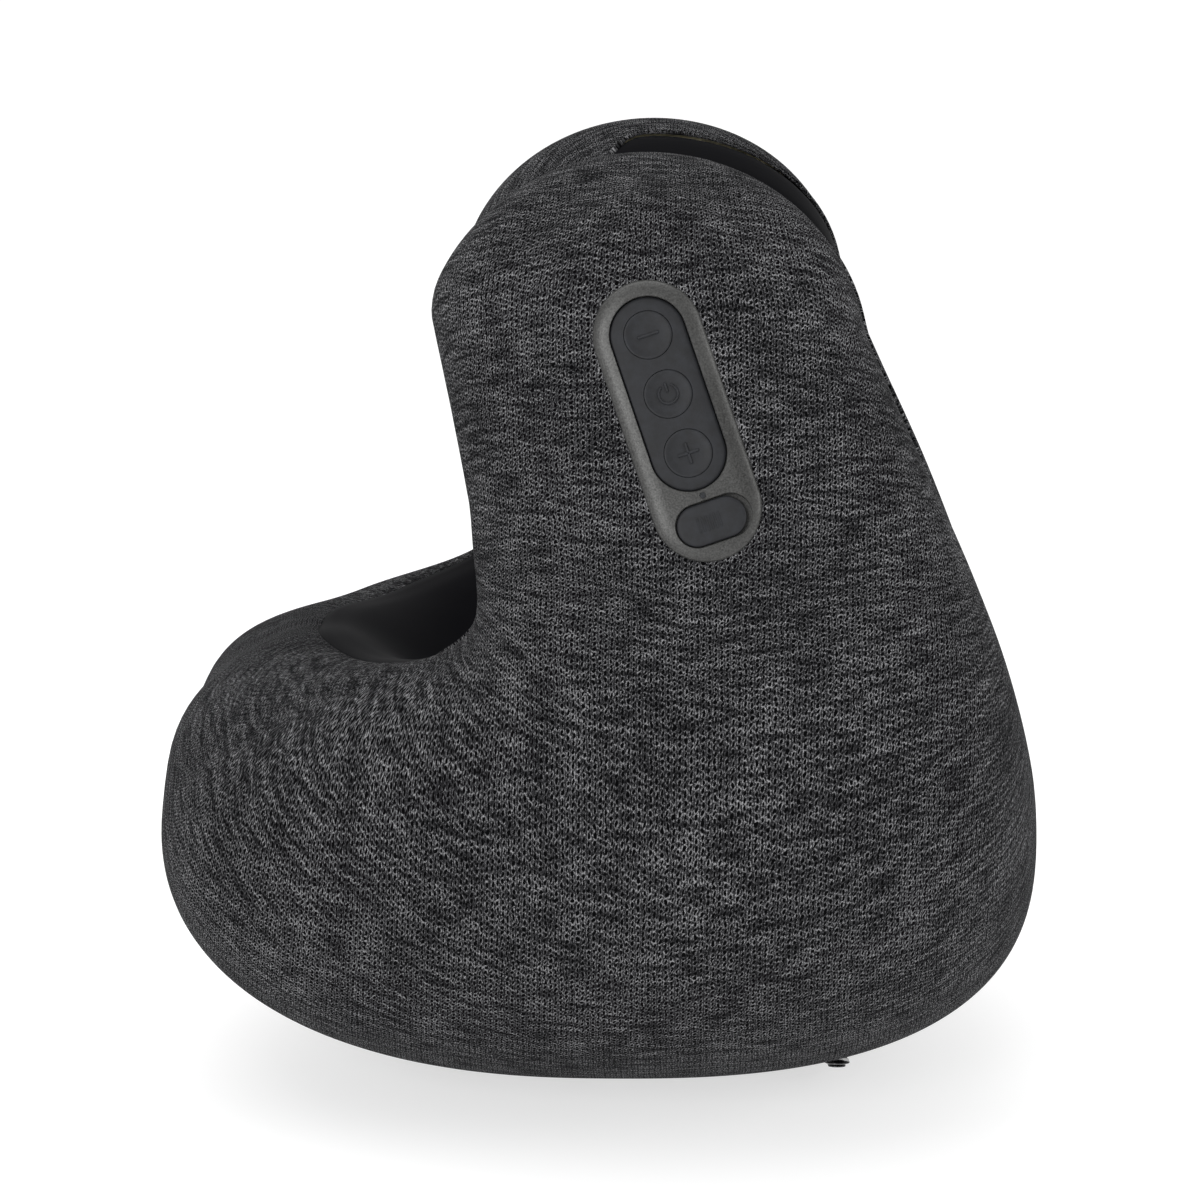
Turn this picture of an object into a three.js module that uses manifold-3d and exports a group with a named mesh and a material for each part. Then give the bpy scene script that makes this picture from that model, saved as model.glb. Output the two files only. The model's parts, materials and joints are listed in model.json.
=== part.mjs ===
// Heated kneading neck massager: a U-shaped foam pillow in a knitted cover, with a smooth black lining
// where the neck lies, a twin-head gearbox in the bend, a control panel on one arm and cells in the other.
// Millimetres, +Z up. The part stands on the back of its bend. Origin: middle of the footprint, on the floor.
// X runs along the wearer's neck (head end at -X), Y across the neck, +Z towards the arm tips.
import * as THREE from "three";
import { mergeVertices } from "three/addons/utils/BufferGeometryUtils.js";
import Module from "manifold-3d";

const wasm = await Module();
wasm.setup();

// ---------------------------------------------------------------- driving dimensions
const MID_R = 76; // radius of the pillow's middle surface round the neck
const NECK_Z = 136; // height of the neck's axis
const ARM_R = 165; // the arms above the neck curve inwards at this radius
const BEND_PAD = 61.4; // padding outside the middle surface, at the bend, before it is pressed flat to rest
const ARM_PAD = 34; // and along the arms
const BEND_FLAT_S = 38; // the bend keeps its full padding this far each side of the centre
const ARM_START_S = 112; // and has thinned to the arms' padding here
const CHANNEL_PAD = 22; // padding inside the middle surface, behind the neck
const ARM_INNER_PAD = 15; // and inside the arms
const REST_TOP = 18; // the head-end cushion fills the channel to this far below the neck's axis
const SKIN = 1.2; // thickness of the knitted cover and of the lining
const FIT = 0.3; // gap between touching pieces
const QUARTER = (MID_R * Math.PI) / 2;

// Outline of one half of the pillow, laid flat: x along the neck, s round the neck from the bend's centre,
// and the lining's edge as a share of the way from the pillow's spine to the outline.
const HEAD_EDGE = [
  [-106.6, 0, 0.645],
  [-101.3, 56, 0.67],
  [-67, 85.6, 0.83],
  [-28.3, 104.8, 0.97],
  [-27.5, 130, 0.87],
  [-31.8, 158, 0.72],
  [-37.2, 180, 0.58],
];
const SHOULDER_EDGE = [
  [108.7, 0, 0.84],
  [107.2, 34, 0.84],
  [103.2, 68, 0.86],
  [95.9, 98, 0.89],
  [86.3, 123, 0.92],
  [73.8, 149, 0.93],
  [62.4, 174.5, 0.93],
];
const SPINE = [
  [-2, 0, 0],
  [2, 31, 0],
  [12, 60, 0],
  [26, 90, 0],
  [29, 115, 0],
  [24, 142, 0],
  [15, 169, 0],
];
const TIP = { x: 11.5, s: 170, rx: 51, rs: 45.5, from: 166, to: 6, seamTop: 0.93 };
const HEAD_SWELL = 2.3; // a lower power slopes the padding down sooner towards the outline
const SHOULDER_SWELL = 2.64;

// Control panel: its place on the near arm, the angle of its long axis, and its slot shape.
const PANEL = { x: 19.6, s: -153.5, turn: -70.9, half: 19.75, radius: 12.07 };
const KEYPAD_R = 8.3;
const KEY_R = 5.2;
const KEY_PITCH = 13.6;
const KEY_TRAVEL_ROOM = 0.9; // between a key's stem and its switch
const FLAP = { x: 23.2, half: 3.25, radius: 4.55, hinge: -7.9 };
const BATTERY = { x: 24, s: 148, n: 8, turn: 70.9 };
const CELL = { radius: 9.1, length: 65 };

// Drive: a motor along X turns a worm between two wheels set in a V, whose shafts point at the neck's axis.
const DRIVE_X = 14; // middle of the massage heads along the neck
const HEAD_TILT = THREE.MathUtils.degToRad(22);
const WHEEL_R = 30;
const WORM_R = 5;
const DRIVE_CENTRES = WHEEL_R + WORM_R + 0.4;
const WORM_Z = NECK_Z - DRIVE_CENTRES / Math.sin(HEAD_TILT);
const MOTOR_R = 14;
const NODE_R = 10;
const NODE_ORBIT = 17;

// Zip under the bend: its place along the neck and its ends, in degrees round the neck's axis.
const ZIP = { x: 59.5, from: -14, to: 27, slider: -11 };

const SIDE_STEPS = 15; // outline steps from the bend's centre to the tip's start
const TIP_STEPS = 7; // and round the tip
const OUTER_RINGS = 5;
const HEM_RINGS = 2;
const LINING_RINGS = 3;
const SEAM_GAP = 0.012; // gap between cover and lining, as a share of the spine-to-outline line

const FABRIC = new THREE.MeshStandardMaterial({ color: 0x3b3c3e, roughness: 0.95, metalness: 0 });
const LINING = new THREE.MeshStandardMaterial({ color: 0x17171a, roughness: 0.6, metalness: 0 });
const FOAM = new THREE.MeshStandardMaterial({ color: 0xd8d2bd, roughness: 0.95, metalness: 0 });
const BLACK_PLASTIC = new THREE.MeshStandardMaterial({ color: 0x1b1c1e, roughness: 0.5, metalness: 0 });
const BEZEL_PAINT = new THREE.MeshStandardMaterial({ color: 0x4a4a49, roughness: 0.45, metalness: 0.4 });
const RUBBER = new THREE.MeshStandardMaterial({ color: 0x25272b, roughness: 0.7, metalness: 0 });
const STEEL = new THREE.MeshStandardMaterial({ color: 0xb4b6b8, roughness: 0.3, metalness: 1 });
const BRASS = new THREE.MeshStandardMaterial({ color: 0xb08d4a, roughness: 0.35, metalness: 1 });
const ACETAL = new THREE.MeshStandardMaterial({ color: 0xe6e2d6, roughness: 0.5, metalness: 0 });
const BOARD = new THREE.MeshStandardMaterial({ color: 0x1f5a35, roughness: 0.5, metalness: 0 });
const WRAP = new THREE.MeshStandardMaterial({ color: 0x2f5f9c, roughness: 0.4, metalness: 0 });
const LENS = new THREE.MeshStandardMaterial({ color: 0xd8d8d2, roughness: 0.2, metalness: 0 });
const HEATER = new THREE.MeshStandardMaterial({ color: 0xa8642e, roughness: 0.5, metalness: 0.2 });
const NODE_PLASTIC = new THREE.MeshStandardMaterial({ color: 0x8c2f24, roughness: 0.35, metalness: 0 });

const root = new THREE.Group();

// ---------------------------------------------------------------- helpers
const clamp01 = (v) => Math.min(1, Math.max(0, v));
const smooth = (v, low, high) => {
  const t = clamp01((v - low) / (high - low));
  return t * t * (3 - 2 * t);
};

// A closed geometry as a manifold-3d solid.
function solid(geometry) {
  const bare = geometry.clone();
  bare.deleteAttribute("normal");
  bare.deleteAttribute("uv");
  const merged = mergeVertices(bare, 1e-4);
  return new wasm.Manifold(
    new wasm.Mesh({
      numProp: 3,
      vertProperties: merged.attributes.position.array,
      triVerts: new Uint32Array(merged.index.array),
    }),
  );
}

// The result of cuts and joins as a geometry.
function geometryOf(manifold) {
  const mesh = manifold.getMesh();
  const geometry = new THREE.BufferGeometry();
  geometry.setAttribute("position", new THREE.BufferAttribute(mesh.vertProperties, 3));
  geometry.setIndex(new THREE.BufferAttribute(mesh.triVerts, 1));
  geometry.computeVertexNormals();
  return geometry;
}

function addPiece(parent, name, shape, material) {
  const geometry = shape.isBufferGeometry ? shape : geometryOf(shape);
  const mesh = new THREE.Mesh(geometry, material);
  mesh.name = name;
  parent.add(mesh);
  return mesh;
}

// A cylinder along Z from z0 to z1.
function rod(radius, z0, z1, sides = 24, x = 0, y = 0) {
  return new THREE.CylinderGeometry(radius, radius, z1 - z0, sides)
    .rotateX(Math.PI / 2)
    .translate(x, y, (z0 + z1) / 2);
}

function block(x0, x1, y0, y1, z0, z1) {
  return new THREE.BoxGeometry(x1 - x0, y1 - y0, z1 - z0).translate(
    (x0 + x1) / 2,
    (y0 + y1) / 2,
    (z0 + z1) / 2,
  );
}

// A slot shape along X, from centre x0 to centre x1, with round ends.
function slotShape(x0, x1, radius, y = 0) {
  const shape = new THREE.Shape();
  shape.moveTo(x0, y - radius);
  shape.lineTo(x1, y - radius);
  shape.absarc(x1, y, radius, -Math.PI / 2, Math.PI / 2, false);
  shape.lineTo(x0, y + radius);
  shape.absarc(x0, y, radius, Math.PI / 2, (3 * Math.PI) / 2, false);
  return shape;
}

function prism(shape, z0, z1, curveSegments = 7) {
  return new THREE.ExtrudeGeometry(shape, {
    depth: z1 - z0,
    bevelEnabled: false,
    curveSegments,
  }).translate(0, 0, z0);
}

const slot = (x0, x1, radius, z0, z1, y = 0) => prism(slotShape(x0, x1, radius, y), z0, z1);

// A tube of a round section along a smooth line through the points.
function tube(points, radius, steps, sides = 8) {
  const section = new THREE.Shape();
  for (let i = 0; i < sides; i++) {
    const a = (2 * Math.PI * i) / sides;
    if (i) section.lineTo(radius * Math.cos(a), radius * Math.sin(a));
    else section.moveTo(radius, 0);
  }
  return new THREE.ExtrudeGeometry(section, {
    steps,
    bevelEnabled: false,
    extrudePath: new THREE.CatmullRomCurve3(points),
  });
}

// ---------------------------------------------------------------- the pillow's shape
// The middle surface: a half circle round the neck, then arms that curve slowly inwards.
function station(s) {
  const side = s < 0 ? -1 : 1;
  const a = Math.abs(s);
  if (a <= QUARTER) {
    const t = a / MID_R;
    return {
      y: side * MID_R * Math.sin(t),
      z: NECK_Z - MID_R * Math.cos(t),
      ny: side * Math.sin(t),
      nz: -Math.cos(t),
    };
  }
  const t = (a - QUARTER) / ARM_R;
  return {
    y: side * (MID_R - ARM_R * (1 - Math.cos(t))),
    z: NECK_Z + ARM_R * Math.sin(t),
    ny: side * Math.cos(t),
    nz: Math.sin(t),
  };
}

// A point x along the neck, s round it, and n outside the middle surface.
function place(x, s, n) {
  const p = station(s);
  return new THREE.Vector3(x, p.y + n * p.ny, p.z + n * p.nz);
}

// A smooth line through the points and the first one's mirror image, so it crosses the centre squarely.
function halfCurve(points) {
  const all = [[points[1][0], -points[1][1], points[1][2]], ...points];
  const curve = new THREE.CatmullRomCurve3(all.map((p) => new THREE.Vector3(...p)));
  return (t) => curve.getPoint((1 + t * (points.length - 1)) / points.length);
}
const headEdge = halfCurve(HEAD_EDGE);
const shoulderEdge = halfCurve(SHOULDER_EDGE);
const spineLine = halfCurve(SPINE);

// One half's outline from the head end's centre round the arm tip to the shoulder end's centre.
function halfOutline() {
  const rows = [];
  for (let i = 0; i <= SIDE_STEPS; i++) {
    const t = i / SIDE_STEPS;
    rows.push({ edge: headEdge(t), spine: spineLine(t), power: HEAD_SWELL });
  }
  for (let i = 1; i < TIP_STEPS; i++) {
    const f = i / TIP_STEPS;
    const a = THREE.MathUtils.degToRad(TIP.from + (TIP.to - TIP.from) * f);
    const seam = HEAD_EDGE[6][2] + (TIP.seamTop - HEAD_EDGE[6][2]) * smooth(f, 0, 0.5);
    const edge = new THREE.Vector3(TIP.x + TIP.rx * Math.cos(a), TIP.s + TIP.rs * Math.sin(a), seam);
    rows.push({ edge, spine: spineLine(1), power: HEAD_SWELL + (SHOULDER_SWELL - HEAD_SWELL) * f });
  }
  for (let i = SIDE_STEPS; i >= 0; i--) {
    const t = i / SIDE_STEPS;
    rows.push({ edge: shoulderEdge(t), spine: spineLine(t), power: SHOULDER_SWELL });
  }
  return rows;
}

// The whole outline: the far half (s above 0), then back along the near half (s below 0).
function wholeOutline() {
  const far = halfOutline();
  const near = far
    .slice(1, -1)
    .reverse()
    .map((row) => ({
      edge: new THREE.Vector3(row.edge.x, -row.edge.y, row.edge.z),
      spine: new THREE.Vector3(row.spine.x, -row.spine.y, 0),
      power: row.power,
    }));
  return [...far, ...near];
}

// Signed distance on the flat layout from the panel's edge.
function fromPanel(x, s) {
  const a = THREE.MathUtils.degToRad(PANEL.turn);
  const dx = x - PANEL.x;
  const ds = Math.abs(s) - Math.abs(PANEL.s);
  const along = dx * Math.cos(a) + ds * Math.sin(a);
  const across = -dx * Math.sin(a) + ds * Math.cos(a);
  const past = Math.max(0, Math.abs(along) - PANEL.half);
  return Math.hypot(past, across) - PANEL.radius;
}

// Padding outside the middle surface at a share r of the way from spine to outline.
function outerPad(x, s, r, power) {
  const thick = ARM_PAD + (BEND_PAD - ARM_PAD) * (1 - smooth(Math.abs(s), BEND_FLAT_S, ARM_START_S));
  let n = thick * Math.pow(Math.max(0, 1 - Math.pow(r, power)), 1 / power);
  if (s < 0) {
    const bend = (s - PANEL.s) / ARM_R;
    const level = (ARM_R + ARM_PAD) / Math.cos(bend) - ARM_R; // the panel's own plane
    const share = 1 - smooth(fromPanel(x, s), 0, 20);
    n += (level - n) * share;
  }
  return n;
}

// Padding inside the middle surface.
function innerPad(x, s, r) {
  const angle = Math.min(Math.abs(s), QUARTER) / MID_R;
  const rest = Math.max(ARM_INNER_PAD, MID_R - REST_TOP / Math.max(Math.cos(angle), 0.2));
  const channel = ARM_INNER_PAD + (CHANNEL_PAD - ARM_INNER_PAD) * (1 - smooth(angle, 0.3, 1.4));
  const share = smooth(x, -78, -12);
  const thick = rest + (channel - rest) * share;
  return thick * Math.pow(Math.max(0, 1 - Math.pow(r, 3)), 1 / 3);
}

// Rings of points from the outer side's spine, over the outline, to the inner side's spine.
function pillowRings() {
  const outline = wholeOutline();
  const ringAt = (outer, share) =>
    outline.map(({ edge, spine, power }) => {
      const r = share(edge.z);
      const x = spine.x + (edge.x - spine.x) * r;
      const s = spine.y + (edge.y - spine.y) * r;
      return place(x, s, outer ? outerPad(x, s, r, power) : -innerPad(x, s, r));
    });
  const rings = [];
  for (let i = 0; i <= OUTER_RINGS; i++) {
    rings.push(ringAt(true, () => Math.sin((Math.PI / 2) * (i / OUTER_RINGS))));
  }
  for (let i = 1; i <= HEM_RINGS; i++) {
    rings.push(
      ringAt(false, (seam) => {
        const from = Math.asin(seam);
        return Math.sin(Math.PI / 2 + (from - Math.PI / 2) * (i / HEM_RINGS));
      }),
    );
  }
  for (let i = 0; i <= LINING_RINGS; i++) {
    rings.push(ringAt(false, (seam) => (seam - SEAM_GAP) * (1 - i / LINING_RINGS)));
  }
  return rings;
}
const RINGS = pillowRings();
const COVER_LAST = OUTER_RINGS + HEM_RINGS; // the cover's last ring; the lining starts at the next one

const pointKey = (v) => `${v.x.toFixed(4)},${v.y.toFixed(4)},${v.z.toFixed(4)}`;

// An indexed mesh from rings of points, without the slivers where a ring folds onto the spine. Inner rings,
// where given, are faced the other way, so that both walls of a skin are split along the same diagonals.
function meshOfRings(rings, innerRings = [], wall = []) {
  const points = [];
  const faces = [];
  const known = new Map();
  const indexOf = (v) => {
    const k = pointKey(v);
    if (!known.has(k)) {
      known.set(k, points.length);
      points.push(v);
    }
    return known.get(k);
  };
  const band = (lower, upper, flipped) => {
    const [low, high] = [lower.map(indexOf), upper.map(indexOf)];
    low.forEach((a, j) => {
      const k = (j + 1) % low.length;
      for (const [p, q, r] of [[a, high[j], high[k]], [a, high[k], low[k]]]) {
        if (p !== q && q !== r && p !== r) faces.push(flipped ? [p, r, q] : [p, q, r]);
      }
    });
  };
  for (let i = 1; i < rings.length; i++) band(rings[i - 1], rings[i], false);
  for (let i = 1; i < innerRings.length; i++) band(innerRings[i - 1], innerRings[i], true);
  if (wall.length) band(wall[0], wall[1], false);
  return { points, faces };
}

// A closed mesh as a geometry, turned to face outwards.
function geometryOfFaces({ points, faces }) {
  let volume = 0;
  for (const [a, b, c] of faces) volume += points[a].dot(points[b].clone().cross(points[c]));
  const geometry = new THREE.BufferGeometry();
  geometry.setAttribute(
    "position",
    new THREE.Float32BufferAttribute(points.flatMap((v) => [v.x, v.y, v.z]), 3),
  );
  geometry.setIndex(faces.flatMap(([a, b, c]) => (volume < 0 ? [a, c, b] : [a, b, c])));
  return geometry;
}

// Outward direction at each ring point, from the whole closed surface.
function ringNormals() {
  const { points, faces } = meshOfRings(RINGS);
  const sums = points.map(() => new THREE.Vector3());
  let volume = 0;
  for (const [a, b, c] of faces) {
    const cross = points[b].clone().sub(points[a]).cross(points[c].clone().sub(points[a]));
    volume += points[a].dot(cross);
    for (const i of [a, b, c]) sums[i].add(cross);
  }
  const at = new Map(points.map((v, i) => [pointKey(v), sums[i].normalize().multiplyScalar(Math.sign(volume))]));
  return RINGS.map((ring) => ring.map((v) => at.get(pointKey(v))));
}
const NORMALS = ringNormals();

// Rings first to last, moved in from the pillow's surface by depth.
function insetRings(depth, first, last) {
  const rings = [];
  for (let i = first; i <= last; i++) {
    rings.push(RINGS[i].map((v, j) => v.clone().addScaledVector(NORMALS[i][j], -depth)));
  }
  return rings;
}

// A skin of the pillow's surface, with a wall along its open edge.
function skin(first, last) {
  const outside = insetRings(0, first, last);
  const inside = insetRings(SKIN, first, last);
  const end = outside.length - 1;
  const wall = first === 0 ? [outside[end], inside[end]] : [inside[0], outside[0]];
  return geometryOfFaces(meshOfRings(outside, inside, wall));
}

// The share of the way from spine to shoulder edge at a point of the flat layout.
function shoulderShare(x, s) {
  let t = 0;
  let r = 0;
  for (let i = 0; i < 12; i++) {
    const edge = shoulderEdge(t);
    const spine = spineLine(t);
    r = (x - spine.x) / (edge.x - spine.x);
    const here = spine.y + (edge.y - spine.y) * r;
    t = clamp01(t + (Math.abs(s) - here) / SPINE[SPINE.length - 1][1]);
  }
  return r;
}

// A curved slab over a rectangle of the flat layout, between two distances from the middle surface.
function slab([x0, x1, xSteps], [s0, s1, sSteps], low, high) {
  const layer = (at) => {
    const rows = [];
    for (let i = 0; i <= xSteps; i++) {
      const x = x0 + ((x1 - x0) * i) / xSteps;
      const row = [];
      for (let j = 0; j <= sSteps; j++) {
        const s = s0 + ((s1 - s0) * j) / sSteps;
        row.push(place(x, s, at(x, s)));
      }
      rows.push(row);
    }
    return rows;
  };
  const a = layer(low);
  const b = layer(high);
  const loops = [];
  for (let i = 0; i <= xSteps; i++) loops.push([...a[i], ...b[i].slice().reverse()]);
  const mesh = meshOfRings(loops);
  const keys = new Map(mesh.points.map((v, i) => [pointKey(v), i]));
  const quad = (p, q, r, t) => {
    const [i, j, k, l] = [p, q, r, t].map((v) => keys.get(pointKey(v)));
    mesh.faces.push([i, j, k], [i, k, l]);
  };
  for (let j = 0; j < sSteps; j++) {
    quad(a[0][j], a[0][j + 1], b[0][j + 1], b[0][j]);
    quad(a[xSteps][j + 1], a[xSteps][j], b[xSteps][j], b[xSteps][j + 1]);
  }
  return geometryOfFaces(mesh);
}

// A frame whose Z points along zAxis and whose X is the neck's direction turned by an angle about Z.
function frameAt(origin, zAxis, turn = 0) {
  const z = zAxis.clone().normalize();
  const x = new THREE.Vector3(1, 0, 0);
  const matrix = new THREE.Matrix4().makeBasis(x, z.clone().cross(x), z).setPosition(origin);
  return matrix.multiply(new THREE.Matrix4().makeRotationZ(THREE.MathUtils.degToRad(turn)));
}

function groupAt(matrix) {
  const group = new THREE.Group();
  group.applyMatrix4(matrix);
  root.add(group);
  return group;
}

const placed = (geometry, matrix) => solid(geometry.clone().applyMatrix4(matrix));
const local = (matrix, x, y, z) => new THREE.Vector3(x, y, z).applyMatrix4(matrix);
const largest = (manifold) => manifold.decompose().sort((a, b) => b.volume() - a.volume())[0];

// ---------------------------------------------------------------- control panel in the near arm
const panelStation = station(PANEL.s);
const panelFrame = frameAt(
  place(PANEL.x, PANEL.s, ARM_PAD),
  new THREE.Vector3(0, panelStation.ny, panelStation.nz),
  PANEL.turn,
);
const BEZEL_TOP = 1.8;
const BODY_R = PANEL.radius - 1.6; // the part of the bezel that stands in the pillow
const TRAY_TOP = -5.3;
const TRAY_BOTTOM = -16;
const panelSlot = (radius, z0, z1) => slot(-PANEL.half, PANEL.half, radius, z0, z1);
const keypadSlot = (radius, z0, z1) => slot(-PANEL.half, -PANEL.half + 2 * KEY_PITCH, radius, z0, z1);
const NAIL_GAP = 1.1; // the seat is longer than the flap at its free end, so a nail can lift it
const flapSlot = (grow, z0, z1, longer = 0) =>
  slot(-FLAP.half, FLAP.half + longer, FLAP.radius + grow, z0, z1).rotateZ(Math.PI / 2).translate(FLAP.x, 0, 0);

function makePanel() {
  const group = groupAt(panelFrame);

  const flange = new THREE.ExtrudeGeometry(slotShape(-PANEL.half, PANEL.half, PANEL.radius), {
    depth: 0.5,
    bevelThickness: 0.5,
    bevelSize: 0.5,
    bevelOffset: -0.5,
    bevelSegments: 1,
    curveSegments: 8,
  }).translate(0, 0, BEZEL_TOP - 1);
  const bezel = solid(flange)
    .add(solid(panelSlot(BODY_R, -5, 1)))
    .subtract(solid(panelSlot(BODY_R - 1.4, -6, -1.4)))
    .subtract(solid(keypadSlot(KEYPAD_R + FIT, -3, 3)))
    .subtract(solid(flapSlot(FIT, -0.2, 3, NAIL_GAP)))
    .subtract(solid(slot(-2.9, 2.9, 2.4, -3, 3).rotateZ(Math.PI / 2).translate(FLAP.x, 0, 0)))
    .subtract(solid(rod(0.95, -3, 3, 12, 17.2, 0)));
  addPiece(group, "control_bezel", bezel, BEZEL_PAINT);

  let web = solid(keypadSlot(KEYPAD_R, -2.9, 0.9)).add(solid(keypadSlot(BODY_R - 1.7, -2.9, -1.7)));
  ["minus", "power", "plus"].forEach((name, i) => {
    const x = -PANEL.half + KEY_PITCH * i;
    web = web.subtract(solid(rod(KEY_R + FIT, -4, 2, 28, x, 0)));
    const stemEnd = -7.7 + 3.3 + KEY_TRAVEL_ROOM;
    const cap = solid(rod(KEY_R, -1.2, 1.5, 28)).add(solid(rod(1.5, stemEnd, -1, 12)));
    addPiece(group, `key_${name}`, cap, RUBBER).position.set(x, 0, 0);
    addPiece(group, `switch_${name}`, block(-3, 3, -3, 3, -7.7, -4.4), BLACK_PLASTIC).position.set(x, 0, 0);
  });
  addPiece(group, "keypad_frame", web, RUBBER);

  addPiece(group, "led_lens", rod(0.65, -3, BEZEL_TOP - 0.1, 12), LENS).position.set(17.2, 0, 0);

  const flap = solid(flapSlot(0, 0.1, 1.6)).add(
    solid(slot(-2.2, 2.2, 0.9, -1.3, 0.4).rotateZ(Math.PI / 2).translate(FLAP.x, 0, 0)),
  );
  addPiece(group, "port_flap", flap, RUBBER);

  const port = solid(slot(-2.9, 2.9, 1.7, -7.7, -1.7)).subtract(solid(slot(-2.9, 2.9, 1.3, -7.2, -1)));
  addPiece(group, "charge_port", port, STEEL).position.set(FLAP.x, 0, 0);
  group.getObjectByName("charge_port").rotation.z = Math.PI / 2;
  addPiece(group, "charge_port_tongue", block(-0.35, 0.35, -3.2, 3.2, -6.9, -2.6), BLACK_PLASTIC).position.set(
    FLAP.x,
    0,
    0,
  );

  addPiece(group, "control_board", panelSlot(BODY_R - 1.4 - FIT, -9.2, -8), BOARD);

  const tray = solid(panelSlot(BODY_R, TRAY_BOTTOM, TRAY_TOP))
    .subtract(solid(panelSlot(BODY_R - 1.4, -9.5, 0)))
    .subtract(solid(panelSlot(BODY_R - 3, TRAY_BOTTOM + 1.4, 0)))
    .subtract(solid(rod(3, TRAY_BOTTOM - 1, -10, 12, 12, 0)));
  addPiece(group, "control_tray", tray, BLACK_PLASTIC);
}
const panelPocket = () => placed(panelSlot(BODY_R + FIT, TRAY_BOTTOM - FIT, 12), panelFrame);
const panelRecess = () => placed(panelSlot(PANEL.radius + FIT, BEZEL_TOP - 1 - FIT, 12), panelFrame);

// ---------------------------------------------------------------- cells in the far arm
const batteryStation = station(BATTERY.s);
const batteryFrame = frameAt(
  place(BATTERY.x, BATTERY.s, BATTERY.n),
  new THREE.Vector3(0, batteryStation.ny, batteryStation.nz),
  BATTERY.turn,
);
const BOX = { x: 36, y: 21, z: 11.5, wall: 1.6 };

function makeBattery() {
  const group = groupAt(batteryFrame);
  const inner = (z0, z1) => {
    const x = BOX.x - BOX.wall;
    const y = BOX.y - BOX.wall;
    return solid(block(-x, x, -y, y, z0, z1));
  };
  const tray = solid(block(-BOX.x, BOX.x, -BOX.y, BOX.y, -BOX.z, 0))
    .subtract(inner(BOX.wall - BOX.z, 1))
    .subtract(solid(block(BOX.x - 3, BOX.x + 1, -3, 3, -5.4, 1)));
  addPiece(group, "battery_tray", tray, BLACK_PLASTIC);
  const lid = solid(block(-BOX.x, BOX.x, -BOX.y, BOX.y, FIT, BOX.z)).subtract(inner(0, BOX.z - BOX.wall));
  addPiece(group, "battery_lid", lid, BLACK_PLASTIC);
  [-1, 1].forEach((side) => {
    const cell = solid(rod(CELL.radius, 0, CELL.length, 20)).add(solid(rod(3, CELL.length - 1, CELL.length + 1, 12)));
    const name = side < 0 ? "battery_cell_lower" : "battery_cell_upper";
    const mesh = addPiece(group, name, cell, WRAP);
    mesh.rotation.y = Math.PI / 2;
    mesh.position.set(-CELL.length / 2 - 0.5, side * (CELL.radius + 0.3), 0);
  });
}
const batteryPocket = () =>
  placed(
    block(-BOX.x - FIT, BOX.x + FIT, -BOX.y - FIT, BOX.y + FIT, -BOX.z - FIT, BOX.z + FIT),
    batteryFrame,
  );

// ---------------------------------------------------------------- drive and massage heads in the bend
const HEADS = [
  { name: "near", side: -1 },
  { name: "far", side: 1 },
].map(({ name, side }) => {
  const centre = new THREE.Vector3(
    DRIVE_X,
    side * DRIVE_CENTRES * Math.cos(HEAD_TILT),
    WORM_Z + DRIVE_CENTRES * Math.sin(HEAD_TILT),
  );
  const axis = new THREE.Vector3(0, -side * Math.sin(HEAD_TILT), Math.cos(HEAD_TILT));
  return { name, side, centre, axis, frame: frameAt(centre, axis) };
});
const HOUSING = { half: 34, low: -8, split: 4.5, high: 7.3 };
const driveRod = (radius, x0, x1, sides) =>
  rod(radius, x0, x1, sides).rotateY(Math.PI / 2).translate(DRIVE_X, 0, WORM_Z);

// A block across one wheel, from its outer edge almost to the worm, in the wheel's own frame.
function wheelBlock({ side }, grow, z0, z1) {
  const reach = HOUSING.half + grow;
  const ends = [side * reach, -side * (HOUSING.half - 1)].sort((a, b) => a - b);
  return block(-reach, reach, ends[0], ends[1], z0, z1);
}

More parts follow.
